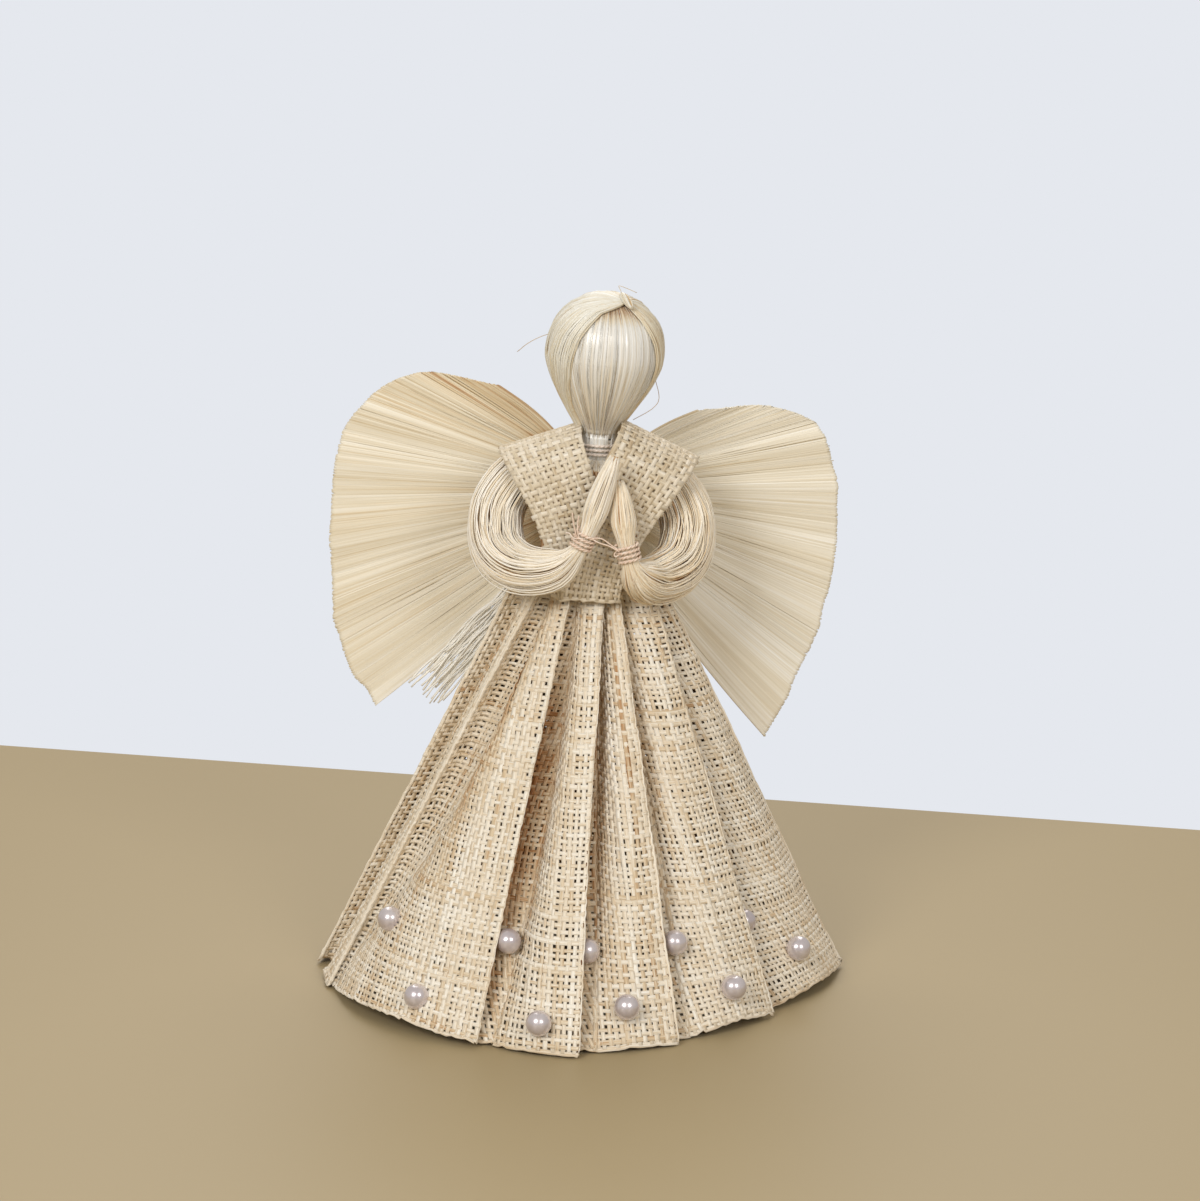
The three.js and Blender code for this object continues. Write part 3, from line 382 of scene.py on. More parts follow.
sway = wander(rng, column_count, 14, row_count).T * SWAY_DRIFT + rng.normal(0, SWAY_SPREAD, column_count)
flat = np.zeros((row_count, column_count, 2))
inside = np.zeros((row_count, column_count), bool)
painted_fold_shade = np.zeros((row_count, column_count))
# Each thread keeps its distance from the ridge on every row, and ends where the narrowing fold has no room for it
for row in range(row_count):
    loop = np.concatenate([lines[row].reshape(-1, 2), lines[row, :1, 0]])
    start, ridge, end = (part[row, columns_pleat] for part in (start_run, ridge_run, end_run))
    wanted = ridge - columns_s + sway[row] * (np.abs(columns_s) > 0.1)
    inside[row] = (wanted > start) & (wanted < end)
    held = np.clip(wanted, start, end)
    # Painted shade in the folds: dark behind each ridge and paler towards the next face, beside each valley, less near
    # hem and waist
    fold_shade_scale = FOLD_SHADE_LOW + (1 - FOLD_SHADE_LOW) * np.sin(np.pi * row_rise[row])
    before, after = (fold["shade"][(columns_pleat + step) % pleat_count] for step in (0, 1))
    from_ridge = np.clip((held - ridge) / (end - ridge), 0, 1)
    shade_behind_ridge = np.clip(from_ridge / 0.35, 0, 1) - 0.6 * np.clip(from_ridge / 0.4 - 1.5, 0, 1)
    on_face = np.clip((held - start) / (ridge - start), 0, 1)
    hollow_shade_mask = np.exp(-(((on_face - HOLLOW_AT) / HOLLOW_HALF) ** 2)) * np.clip(row_rise[row] * 3 - 0.6, 0, 1)
    painted_hollow_shade = HOLLOW_SHADE * (columns_pleat == HOLLOW_PLEAT) * hollow_shade_mask
    beside = BESIDE_SHADE * before * np.exp(-(((held - start) / BESIDE_REACH) ** 2))
    painted_fold_shade[row] = painted_hollow_shade + (beside + after * shade_behind_ridge) * fold_shade_scale
    flat[row] = np.stack([np.interp(held, run_along[row], loop[:, i]) for i in range(2)], -1)
row_wave = wander(rng, row_count, 40, column_count) * ROW_WAVE
row_wave[0] += rng.normal(0, HEM_UNEVEN, column_count)
heights = np.clip(HEM_LIFT + row_rise[:, None] * (SKIRT_HEIGHT - HEM_LIFT) + row_wave, HEM_LIFT, None)
# Between the ridges the hem hangs a little higher
face_share = np.clip(columns_s / face_length[columns_pleat], 0, 1)
hem_rise = fold["rise"][columns_pleat] * np.sin(np.pi * face_share)
heights = heights + hem_rise * (1 - row_rise[:, None]) ** HEM_FADE
places = np.dstack([flat, heights])
places[..., 0] += figure_foot[0] - SKIRT_SHIFT + SKIRT_SHIFT * row_rise[:, None]
places[..., 1] += figure_foot[1]
around = np.roll(flat, -1, axis=1) - np.roll(flat, 1, axis=1)
side = unit(np.dstack([around, np.zeros(around.shape[:2])]))
up = unit(np.gradient(places, axis=0))
out = unit(np.cross(side, up))
# The cloth lies just inside the solid's face, less so at the ridges, where front and return meet
places -= out * (CLOTH_DEPTH * (1 - CREASE_EASE * np.exp(-((columns_s / CREASE_REACH) ** 2))))[:, None]
buckle = wander(rng, row_count, 26, column_count) * 0.5
buckle = buckle + wander(rng, column_count, 30, row_count).T * 0.5
places += out * buckle[..., None] * CLOTH_BUCKLE
crossing = np.add.outer(np.arange(row_count), np.cumsum(~on_crease))
weave = np.where(crossing % 2 == 0, 1.0, -1.0) * ~on_crease
warp_width = thread_widths(rng, 8, 11, column_count, row_count).T
weft_width = thread_widths(rng, 6, 14, row_count, column_count)
warp_tone = thread_values(rng, *WARP_TONE, column_count, row_count).T
weft_tone = thread_values(rng, *WEFT_TONE, row_count, column_count)
by_ridge = np.exp(-((columns_s / RIDGE_HALF) ** 2)) * RIDGE_MIX
warp_tone, weft_tone = (tone * (1 - by_ridge) + RIDGE_TONE * by_ridge - painted_fold_shade for tone in (warp_tone, weft_tone))

hugging = (inside | np.roll(inside, 1, axis=1) | np.roll(inside, -1, axis=1)) & ~on_crease
skirt_cloth = fibre_finish(
    "skirt_cloth", CLOTH_SHADES, streak=(0.22, 4.5), spread=0.24, roughness=(0.5, 0.85), bump=0.5
)
skirt_painted_inside_shade = fibre_finish(
    "skirt_painted_inside_shade", PAINTED_INSIDE_SHADES, streak=(0.22, 4.5), spread=0.2, roughness=(0.7, 0.9), bump=0.3
)
by_crease = np.abs(columns_s) < CREASE_HALF
warp = places, side, out, np.clip(warp_width, *WARP_LIMITS), weave * CLOTH_WAVE
plain, creased = (part[:-1] & part[1:] for part in (hugging & ~by_crease, hugging & by_crease))
skirt_warp = woven("skirt_warp", *warp, plain, warp_tone, skirt_cloth, run=0)
crease_warp = woven("skirt_crease_warp", *warp, creased, warp_tone, skirt_cloth, run=0)
weft = places, up, out, np.clip(weft_width, *WEFT_LIMITS), -weave * CLOTH_WAVE, weft_tone
closing = [np.concatenate([part, part[:, :1]], axis=1) for part in weft]
inside_all_round = np.concatenate([inside, inside[:, :1]], axis=1)
kept = inside_all_round[:, :-1] | inside_all_round[:, 1:]
skirt_weft = woven("skirt_weft", *closing[:5], kept, closing[5], skirt_cloth, run=1)
for cloth in (skirt_warp, crease_warp, skirt_weft):
    thicken(cloth, THREAD_DEPTH)
    # The threads' inner side is painted dark as shade, so the holes look shaded, but for the creases, where it shows
    if cloth != crease_warp:
        cloth.data.materials.append(skirt_painted_inside_shade)
        cloth.modifiers["thread_thickness"].material_offset = 1
    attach(cloth, "body")
    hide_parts("skirt")


# The pearls: craft pearls of 4 mm, glued on ten pleats, one low on the face and one in the fold behind it.
# They are plastic balls with a soft mauve-white lacquer that shows the lights and a tint of the cloth.
PEARL_RADIUS, PEARL_SINK = 2.05, 0.6
PEARL_SHADES = (204, 194, 198), (220, 212, 214)
PEARL_NUDGE = {"pearl_upper_03": (-1.0, 0.2, 0), "pearl_upper_04": (-0.9, 0.3, 0), "pearl_upper_06": (-0.6, 0.3, 0)}


def clouded_finish(name, scale, shades, ends):
    # A plain colour with faint clouds in it
    made, nodes, links, shader = finish_of(name)
    place = nodes.new("ShaderNodeTexCoord")
    cloud = nodes.new("ShaderNodeTexNoise")
    dial(cloud, {"Scale": scale})
    tint = nodes.new("ShaderNodeValToRGB")
    for stop, at, shade in zip(tint.color_ramp.elements, ends, shades):
        stop.position, stop.color = at, linear(*shade)
    join(links, [
        (place, "Object", cloud, "Vector"), (cloud, "Fac", tint, "Fac"), (tint, "Color", shader, "Base Color"),
    ])
    return made, shader


pearl_coat, shader = clouded_finish("pearl_coat", 450.0, PEARL_SHADES, (0.3, 0.7))
dial(shader, {"Metallic": 0.5, "Roughness": 0.26, "Coat Weight": 1.0, "Coat Roughness": 0.07})
pearl_nodes = sorted(name for name in frame["nodes"] if name.startswith("pearl_"))
bm = bmesh.new()
for name in pearl_nodes:
    low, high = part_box(name)
    centre = (low + high) / 2
    centre -= Vector((centre.x, centre.y, 0)).normalized() * PEARL_SINK * MM
    centre += Vector(PEARL_NUDGE.get(name, (0, 0, 0))) * MM
    seat = Matrix.Translation(centre)
    bmesh.ops.create_uvsphere(bm, u_segments=24, v_segments=14, radius=PEARL_RADIUS * MM, matrix=seat)
pearls = new_piece("skirt_pearls", bm, pearl_coat)
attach(pearls, "body")
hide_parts(*pearl_nodes)


# The trunk: a bundle of combed fibre from inside the skirt up to the neck, which the skirt and bodice hide.
# Only its bound neck shows, in the opening of the bodice under the chin.
FIBRE_SHADES = [
    (0, (138, 78, 34)), (0.22, (200, 150, 98)), (0.45, (233, 211, 175)), (0.7, (244, 231, 207)), (1, (253, 247, 236)),
]
TRUNK_LEVELS = [
    (-8, 7.4, 3.6), (1.5, 7.4, 3.6), (4.2, 8, 8.1), (19, 8, 8.1),
    (21, 7.2, 7.3), (21.6, 5.4, 4.4), (22.2, 2.8, 2.8), (25.4, 2.8, 2.8),
]
TRUNK_STRANDS, TRUNK_POINTS, TRUNK_FIBRE, TRUNK_INSET = 96, 22, 0.28, 0.25
TRUNK_TONE, HIDDEN_SHADE, BARE_FROM = 0.95, 0.68, 21


def stand(points):
    # From the figure's own upright frame to its place on the skirt, where it leans to the right
    sine, cosine = lean_axis[0], lean_axis[2]
    turned = np.stack([
        points[..., 0] * cosine + points[..., 2] * sine,
        points[..., 1],
        points[..., 2] * cosine - points[..., 0] * sine,
    ], -1)
    return turned + figure_foot


def smooth_path(marks, steps):
    # A smooth run through marks, each with as many numbers as it needs
    marks = np.array(marks, float)
    padded = np.concatenate([[2 * marks[0] - marks[1]], marks, [2 * marks[-1] - marks[-2]]])
    at = np.linspace(0, len(marks) - 1, steps)
    k = np.minimum(at.astype(int), len(marks) - 2)
    u = (at - k)[:, None]
    a, b, c, d = (padded[k + i] for i in range(4))
    return 0.5 * (2 * b + (c - a) * u + (2 * a - 5 * b + 4 * c - d) * u**2 + (3 * b - a - 3 * c + d) * u**3)


def strands(name, paths, radius, tone, beside, finish, sides=4):
    # Fibres as thin closed tubes: paths has one row of points for each, beside a direction across it
    count, points = paths.shape[:2]
    radius = np.broadcast_to(np.asarray(radius, float), (count, points))
    along = unit(np.gradient(paths, axis=1))
    beside = np.broadcast_to(beside, paths.shape)
    first = unit(beside - along * np.sum(beside * along, -1, keepdims=True))
    second = np.cross(along, first)
    ends = [0, *range(points), points - 1]
    paths, first, second = paths[:, ends], first[:, ends], second[:, ends]
    radius = radius[:, ends].copy()
    radius[:, [0, -1]] = 0
    turn = 2 * np.pi * np.arange(sides + 1) / sides
    ring = first[:, :, None] * np.cos(turn)[:, None] + second[:, :, None] * np.sin(turn)[:, None]
    spots = paths[:, :, None] + ring * radius[..., None, None]
    rows = count * (points + 2)
    kept = np.ones((rows - 1, sides), bool)
    kept[points + 1::points + 2] = False
    run = np.cumsum(np.linalg.norm(np.diff(paths, axis=1, prepend=paths[:, :1]), axis=-1), axis=1)
    lie = np.zeros(spots.shape)
    lie[..., 0] = run[..., None]
    lie[..., 1] = np.arange(sides + 1) / sides
    lie[..., 2] = (np.arange(count) * 0.37)[:, None, None]
    shade = np.broadcast_to(np.reshape(tone, (count, -1)), (count, points))[:, ends]
    shade = np.broadcast_to(shade[..., None], spots.shape[:3])
    return on_grid(name, spots.reshape(rows, sides + 1, 3), kept, shade, lie.reshape(rows, sides + 1, 3), finish)


pale_fibre = fibre_finish("pale_fibre", FIBRE_SHADES, streak=(0.25, 3.0), spread=0.2, roughness=(0.28, 0.5), bump=0.3)
rng = np.random.default_rng(3)
levels = smooth_path(TRUNK_LEVELS, TRUNK_POINTS)
turn = np.linspace(0, 2 * np.pi, TRUNK_STRANDS, endpoint=False)[:, None]
bundle = np.stack([
    (levels[:, 1] - TRUNK_INSET) * np.sin(turn + rng.normal(0, 0.01, (TRUNK_STRANDS, TRUNK_POINTS))),
    -(levels[:, 2] - TRUNK_INSET) * np.cos(turn),
    np.broadcast_to(levels[:, 0], (TRUNK_STRANDS, TRUNK_POINTS)),
], -1)
# Below the bare neck the fibre is painted dark as shade, so it looks shaded through the bodice's holes and gaps
trunk_tone = rng.normal(TRUNK_TONE, 0.12, (TRUNK_STRANDS, 1)) - HIDDEN_SHADE * (levels[:, 0] < BARE_FROM)
outwards = np.stack([np.sin(turn), -np.cos(turn), turn * 0], -1)
trunk_fibre = strands("trunk_fibre", stand(bundle), TRUNK_FIBRE, trunk_tone, outwards, pale_fibre)
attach(trunk_fibre, "body")
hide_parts("trunk")


# The bodice: two woven strips, each from the front waist over a shoulder to the back waist.
# They cross in front and behind with the right one outside, and their cut edges fray a little.
STRIP_ROWS, STRIP_COLUMNS = 64, 14
COLLAR = (3.6, 27.1)
SHOULDER = (15.6, 22.3)
SHOULDER_ROUND, ROUND_SHARE = 7, 0.4
STRIP_END_HEIGHT, STRIP_END_INNER, STRIP_END_OUTER = 0.6, -3.9, 5.2
STRIP_DRAW = 1.75
TORSO_HALF_DEPTH, TORSO_SIDE_FALL = 8.4, 0.2
STRIP_OFFSET, STRIP_LAYER, STRIP_WAVE, STRIP_DEPTH = 0.45, 0.9, 0.05, 0.16
# Thread widths as shares of their pitch, and tones, each as for the skirt
STRIP_WARP_SHARE, STRIP_WEFT_SHARE = (0.79, 0.08, 0.06, 9, (0.62, 0.98)), (0.77, 0.1, 0.06, 5, (0.6, 0.98))
STRIP_WARP_TONE, STRIP_WEFT_TONE = (0.56, 0.08, 0.06, 15, (0.1, 0.95)), (0.6, 0.08, 0.06, 6, (0.1, 0.95))
STRIP_SHADES = [
    (0, (116, 86, 54)), (0.2, (174, 146, 108)), (0.45, (208, 192, 164)), (0.75, (230, 219, 200)), (1, (246, 240, 227)),
]


def on_strip(flank, run, across):
    length = np.abs(run)
    top = COLLAR[1] + (SHOULDER[1] - COLLAR[1]) * across
    fall = top - STRIP_END_HEIGHT
    straight = (length - ROUND_SHARE) / (1 - ROUND_SHARE)
    rounded = SHOULDER_ROUND * (1 - np.cos(np.pi / 2 * np.minimum(length / ROUND_SHARE, 1)))
    drop = np.where(straight < 0, rounded, SHOULDER_ROUND + (fall - SHOULDER_ROUND) * straight)
    start = COLLAR[0] + (SHOULDER[0] - COLLAR[0]) * across
    end = STRIP_END_INNER + (STRIP_END_OUTER - STRIP_END_INNER) * across
    x = end + (start - end) * np.maximum(1 - drop / fall, 0) ** STRIP_DRAW
    z = top - drop
    line = COLLAR[1] - (np.abs(x) - COLLAR[0]) * (COLLAR[1] - SHOULDER[1]) / (SHOULDER[0] - COLLAR[0])
    below = np.clip((line - z) / SHOULDER_ROUND, 0, 1)
    depth = TORSO_HALF_DEPTH * (1 - TORSO_SIDE_FALL * (x / SHOULDER[0]) ** 2) * np.sqrt(1 - (1 - below) ** 2)
    return np.stack([flank * x, np.sign(run) * depth, z], -1)


strip_cloth = fibre_finish(
    "strip_cloth", STRIP_SHADES, streak=(0.3, 3.5), spread=0.2, roughness=(0.55, 0.85), bump=0.4
)
for flank, layer, label in ((-1, 0, "left"), (1, 1, "right")):
    rng = np.random.default_rng(21 + layer)
    run = np.linspace(-1, 1, STRIP_ROWS)[:, None] + rng.normal(0, 0.0015, (STRIP_ROWS, STRIP_COLUMNS))
    run[0] -= rng.uniform(0, 0.012, STRIP_COLUMNS)
    across = np.linspace(0, 1, STRIP_COLUMNS)[None] + wander(rng, STRIP_COLUMNS, 16, STRIP_ROWS).T * 0.008
    spots = on_strip(flank, run, across)
    along = unit(np.gradient(spots, axis=0))
    over = unit(np.gradient(spots, axis=1))
    facing = unit(np.cross(over, along)) * flank
    cloth = stand(spots + facing * (STRIP_OFFSET + layer * STRIP_LAYER))
    up, side, out = (stand(part) - figure_foot for part in (along, over, facing))
    pitch = np.linalg.norm(np.gradient(spots, axis=1), axis=-1)
    row_pitch = np.linalg.norm(np.gradient(spots, axis=0), axis=-1)
    warp_share = thread_values(rng, *STRIP_WARP_SHARE, STRIP_COLUMNS, STRIP_ROWS).T
    weft_share = thread_values(rng, *STRIP_WEFT_SHARE, STRIP_ROWS, STRIP_COLUMNS)
    crossing = np.add.outer(np.arange(STRIP_ROWS), np.arange(STRIP_COLUMNS))
    weave = np.where(crossing % 2 == 0, 1.0, -1.0) * STRIP_WAVE
    warp_tone = thread_values(rng, *STRIP_WARP_TONE, STRIP_COLUMNS, STRIP_ROWS).T
    weft_tone = thread_values(rng, *STRIP_WEFT_TONE, STRIP_ROWS, STRIP_COLUMNS)
    lengthwise = cloth, side * flank, out, pitch * warp_share, weave
    warp = woven(f"bodice_{label}_warp", *lengthwise, True, warp_tone, strip_cloth, run=0)
    frayed = cloth.copy()
    frayed[:, 0] -= side[:, 0] * rng.uniform(0.1, 0.6, (STRIP_ROWS, 1))
    frayed[:, -1] += side[:, -1] * rng.uniform(0.1, 0.7, (STRIP_ROWS, 1))
    crosswise = frayed, up * flank, out, row_pitch * weft_share, -weave
    weft = woven(f"bodice_{label}_weft", *crosswise, True, weft_tone, strip_cloth, run=1)
    for threads in (warp, weft):
        if flank > 0:
            threads.data.flip_normals()
        thicken(threads, STRIP_DEPTH)
        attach(threads, "body")
        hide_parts(f"bodice_{label}")


# The arms: two hanks of combed fibre that leave the shoulder under the bodice and bulge as full sleeves.
# Each is bound at the wrist, and its loose ends past the binding are the hands, pressed together.
SLEEVE = [(8.3, 0, 19, 3.5), (12.4, -0.4, 18.4, 4), (15.6, -2, 12.8, 4.4), (14.8, -5.6, 7, 4.2), (10.6, -10, 4.7, 3.7)]
HANDS = {
    "left": ((-5, -13.6, 6), (-1.2, -15, 11.3), (2.7, -14.3, 25)),
    "right": ((8, -13.4, 5.6), (6, -15, 9.8), (3.6, -12.6, 20.8)),
}
WRIST_HALF, PALM_SHARE, FINGER_SHARE = 1.99, 0.28, 0.72
HAND_RADII = (3, 1.35, 1.4, 1.95, 1.5, 0.75)
# The right arm is painted darker than the left as painted shade, and the core strands darker still as painted shade
# between the fibres
ARM_TONE, ARM_CORE_SHADE_TONE = {"left": 0.84, "right": 0.7}, 0.36
ARM_POINTS = 46
ARM_STRANDS, ARM_CORE_STRANDS = 300, 90


def carried_frame(path):
    # Two directions across a path, carried along it without twist
    along = unit(np.gradient(path, axis=0))
    first = np.array([0.3, 0.9, 0.3])
    firsts = []
    for heading in along:
        first = first - heading * np.dot(first, heading)
        first = first / np.linalg.norm(first)
        firsts.append(first)
    return np.array(firsts), np.cross(along, np.array(firsts))


def cut_short(paths, share):
    # Each path ends at its own share of the way, with its points spread over what is left
    count, points = paths.shape[:2]
    at = np.linspace(0, 1, points) * share[:, None] * (points - 1)
    k = np.minimum(at.astype(int), points - 2)
    ease = (at - k)[..., None]
    rows = np.arange(count)[:, None]
    return paths[rows, k] * (1 - ease) + paths[rows, k + 1] * ease


for flank, label in ((-1, "left"), (1, "right")):
    rng = np.random.default_rng(31 + flank)
    forearm, wrist, tip = (np.array(mark, float) for mark in HANDS[label])
    heading = unit(tip - forearm)
    low, high = wrist - heading * WRIST_HALF, wrist + heading * WRIST_HALF
    palm, fingers = (high + (tip - high) * share for share in (PALM_SHARE, FINGER_SHARE))
    route = [(flank * x, y, z, r) for x, y, z, r in SLEEVE]
    route += [(*mark, r) for mark, r in zip((forearm, low, high, palm, fingers, tip), HAND_RADII)]
    line = smooth_path(route, ARM_POINTS)
    first, second = carried_frame(line[:, :3])
    count = ARM_STRANDS + ARM_CORE_STRANDS
    outer = np.arange(count) < ARM_STRANDS
    turn = rng.uniform(0, 2 * np.pi, count)[:, None] + wander(rng, count, 12, ARM_POINTS) * 0.09
    turn = turn + np.linspace(0, 0.5, ARM_POINTS)
    depth = np.where(outer, rng.uniform(0.86, 1.0, count), rng.uniform(0.4, 0.72, count))[:, None]
    loose = np.where(outer & (rng.uniform(0, 1, count) < 0.07), rng.uniform(0.06, 0.2, count), 0)[:, None]
    loose = loose * np.sin(np.pi * np.clip(np.linspace(-0.15, 1.6, ARM_POINTS), 0, 1)) ** 2
    depth = depth + wander(rng, count, 11, ARM_POINTS) * 0.03 + loose
    ring = np.cos(turn)[..., None] * first + np.sin(turn)[..., None] * second
    paths = line[:, :3] + ring * (line[:, 3] * depth)[..., None]
    paths = cut_short(paths, rng.uniform(0.955, 1, count))
    outer_tone = np.clip(rng.normal(ARM_TONE[label], 0.15, count), 0.3, 1)
    tone = np.where(outer, outer_tone, np.clip(rng.normal(ARM_CORE_SHADE_TONE, 0.08, count), 0.15, 0.55))
    thick = np.where(outer, rng.uniform(0.08, 0.145, count), rng.uniform(0.34, 0.5, count))[:, None]
    thick = thick * np.clip(line[:, 3] / 3, 0.55, 1)
    arm = strands(f"arm_{label}_fibre", stand(paths), thick, tone, stand(ring) - figure_foot, pale_fibre)
    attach(arm, "body")
    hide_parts(f"arm_{label}")


# The ties: thin two-ply thread, wound tightly round the neck and each wrist.
# The wrist ties end in cut ends that stick out, and the same winding serves the wings below.
THREAD_RADIUS, TIE_PITCH, TURN_POINTS = 0.25, 0.72, 60
PLY_TWIST, PLY_OFFSET, PLY_SHARE = 4.2, 0.52, 0.62
NECK_TIE_HEIGHT, NECK_TIE_HALVES, WRIST_TIE_HALVES = 23.6, (3.2, 3.2), (1.7, 1.7)
ACROSS, BACKWARD, UPWARD = np.eye(3)
TIE_SHADES = [(0, (170, 128, 104)), (0.4, (216, 186, 164)), (0.7, (234, 210, 190)), (1, (247, 234, 222))]
tie_thread = fibre_finish("tie_thread", TIE_SHADES, streak=(1.5, 2.0), spread=0.3, roughness=(0.45, 0.7), bump=0.5)


def wound_thread(name, centre, axis, halves, wide_way, loops, tone, node):
    # Two plies that twist round each other along one winding
    half_wide, half_deep = halves
    points = TURN_POINTS * loops
    turn = np.linspace(0, 2 * np.pi * loops, points)
    rise = np.linspace(-0.5, 0.5, points) * loops * TIE_PITCH
    wide, deep = np.cos(turn)[:, None] * wide_way, np.sin(turn)[:, None] * np.cross(axis, wide_way)
    outward = unit(wide * half_deep + deep * half_wide)
    path = centre + wide * half_wide + deep * half_deep + rise[:, None] * axis
    twist = np.cumsum(np.linalg.norm(np.diff(path, axis=0, prepend=path[:1]), axis=-1)) * PLY_TWIST
    plies = []
    for start in (0, np.pi):
        offset = np.cos(twist + start)[:, None] * outward + np.sin(twist + start)[:, None] * axis
        plies.append(path + offset * THREAD_RADIUS * PLY_OFFSET)
    beside = stand(np.broadcast_to(outward, (2, *outward.shape))) - figure_foot
    thick, tones = THREAD_RADIUS * PLY_SHARE, [tone, tone + 0.1]
    tie = strands(name, stand(np.array(plies)), thick, tones, beside, tie_thread, sides=6)
    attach(tie, "body")
    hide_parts(node)
    return tie


# The neck thread is painted paler than the wrist threads, as painted light where the chin shades it
wound_thread("neck_thread", UPWARD * NECK_TIE_HEIGHT, UPWARD, NECK_TIE_HALVES, ACROSS, 3, 1.1, "neck_tie")
for flank, label in ((-1, "left"), (1, "right")):
    forearm, wrist, tip = (np.array(mark, float) for mark in HANDS[label])
    heading = unit(tip - forearm)
    wide_way = unit(np.cross(heading, BACKWARD))
    wound_thread(f"wrist_thread_{label}", wrist, heading, WRIST_TIE_HALVES, wide_way, 4, 0.66, f"wrist_tie_{label}")

WHISKERS = [
    [(-1.9, -16.4, 11.6), (-2.5, -16.5, 12.2), (-3.0, -16.1, 13.8), (-3.4, -15.6, 15.6)],
    [(-1.9, -16.5, 11.6), (-2.2, -16.6, 12.4), (-2.4, -16.2, 14.0), (-2.3, -15.8, 15.2)],
    [(-1.9, -16.4, 11.6), (-2.9, -16.4, 11.7), (-3.6, -16.0, 12.3), (-4.2, -15.4, 12.2)],
    [(0.3, -16.4, 11.9), (1.6, -16.4, 11.9), (3.2, -16.5, 11.0), (4.6, -16.5, 10.2)],
    [(0.3, -16.5, 11.6), (1.4, -16.6, 11.2), (3.0, -16.6, 10.8), (4.6, -16.5, 10.0)],
    [(4.6, -16.5, 9.6), (4.0, -16.6, 9.2), (3.8, -16.2, 9.6), (4.3, -16.0, 10.2)],
]
rng = np.random.default_rng(36)
paths = np.array([smooth_path(marks, 14) for marks in WHISKERS])
tone = rng.uniform(0.55, 0.9, len(WHISKERS))
wrist_ends = strands("wrist_thread_ends", stand(paths), 0.12, tone, BACKWARD, tie_thread)
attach(wrist_ends, "body")


# The head: a ball with combed fibre drawn over it from the crown and bound under it at the neck.
# It is plain, with no features. The fine fibres lie side by side from crown to chin and shine like silk.
NECK_RADIUS, WRAP_FOOT = 2.8, 25.7
HEAD_HEIGHT, WRAP_RADIUS = 39.9, 8.9
WRAP_TAPER = [(0.11, 0.05), (0.32, 0.36), (0.58, 0.72), (0.82, 0.95)]
WRAP_TURNS = [90, 68, 46, 22, 0]
HEAD_SEGMENTS, HEAD_ROWS = 240, 40
CHIN_SHADE, UNDER_HAIR_SHADE, WRAP_GROOVE = 0.24, 0.45, 0.06
WRAP_SHADES = [(0, (150, 100, 58)), (0.3, (221, 206, 178)), (0.6, (233, 231, 225)), (1, (252, 252, 250))]
outline = [(NECK_RADIUS, WRAP_FOOT)]
taper_reach, taper_rise = WRAP_RADIUS - NECK_RADIUS, HEAD_HEIGHT - WRAP_FOOT
outline += [(NECK_RADIUS + taper_reach * b, WRAP_FOOT + taper_rise * a) for a, b in WRAP_TAPER]
for turn in map(math.radians, WRAP_TURNS):
    outline.append((WRAP_RADIUS * math.sin(turn), HEAD_HEIGHT + WRAP_RADIUS * math.cos(turn)))
OUTLINE_POINTS = 600
outline_line = smooth_path(outline, OUTLINE_POINTS)
outline_run = np.concatenate([[0], np.cumsum(np.linalg.norm(np.diff(outline_line, axis=0), axis=-1))])
outline_way = unit(np.gradient(outline_line, axis=0))


def on_head(share, angle, lift):
    # A place on the wrap, by its share of the way from the neck to the crown and the angle from the front
    at = share * outline_run[-1]
    radius, z, way_r, way_z = (np.interp(at, outline_run, part) for part in (*outline_line.T, *outline_way.T))
    reach = np.maximum(radius, 0) + lift * way_z
    return np.stack([reach * np.sin(angle), -reach * np.cos(angle), z - lift * way_r], -1)


def off_head(points):
    # The way out from the head, level below the middle of the ball
    hub = np.stack([points[..., 0] * 0, points[..., 1] * 0, np.minimum(points[..., 2], HEAD_HEIGHT)], -1)
    return unit(points - hub)


def head_share(z):
    return np.interp(z, outline_line[:, 1], outline_run / outline_run[-1])


wrap_fibre = fibre_finish("wrap_fibre", WRAP_SHADES, streak=(0.05, 2.6), spread=0.18, roughness=(0.16, 0.32), bump=0.45)
dial(wrap_fibre.node_tree.nodes["Principled BSDF"], {"Specular IOR Level": 0.9})


def wrap_shade(share):
    # Ivory over the ball, with painted shade: straw towards the bound chin and brown in the shade of the hair
    z = np.interp(share * outline_run[-1], outline_run, outline_line[:, 1])
    rise = (z - HEAD_HEIGHT) / WRAP_RADIUS
    under_hair = np.clip((rise - 0.5) / 0.25, 0, 1) * np.clip((0.97 - rise) / 0.06, 0, 1)
    return -CHIN_SHADE * np.clip(-rise / 1.3, 0, 1) - UNDER_HAIR_SHADE * under_hair


rng = np.random.default_rng(41)
share = np.linspace(0, 1, HEAD_ROWS)[:, None]
angle = np.linspace(0, 2 * np.pi, HEAD_SEGMENTS + 1)[None]
groove = np.append(rng.normal(0, 1, HEAD_SEGMENTS), 0)
groove[-1] = groove[0]
groove = groove * WRAP_GROOVE * np.sin(np.pi * np.clip(share * 1.04, 0, 1))
spots = on_head(share + angle * 0, angle + share * 0, groove)
tone = 0.62 + 0.08 * np.append(rng.normal(0, 1, HEAD_SEGMENTS), 0) + wrap_shade(share)
lie = np.stack([share * 34 + angle * 0, angle * 8.9 + share * 0, angle * 0 + share * 0], -1)
whole = np.ones((HEAD_ROWS - 1, HEAD_SEGMENTS), bool)
head_fibre = on_grid("head_fibre", stand(spots), whole, tone, lie, wrap_fibre)
FACE_STRANDS, FACE_POINTS, FACE_FIBRE = 260, 30, 0.055
turn = rng.uniform(0, 2 * np.pi, FACE_STRANDS)[:, None] + wander(rng, FACE_STRANDS, 14, FACE_POINTS) * 0.015
share = np.linspace(0.005, 0.985, FACE_POINTS)
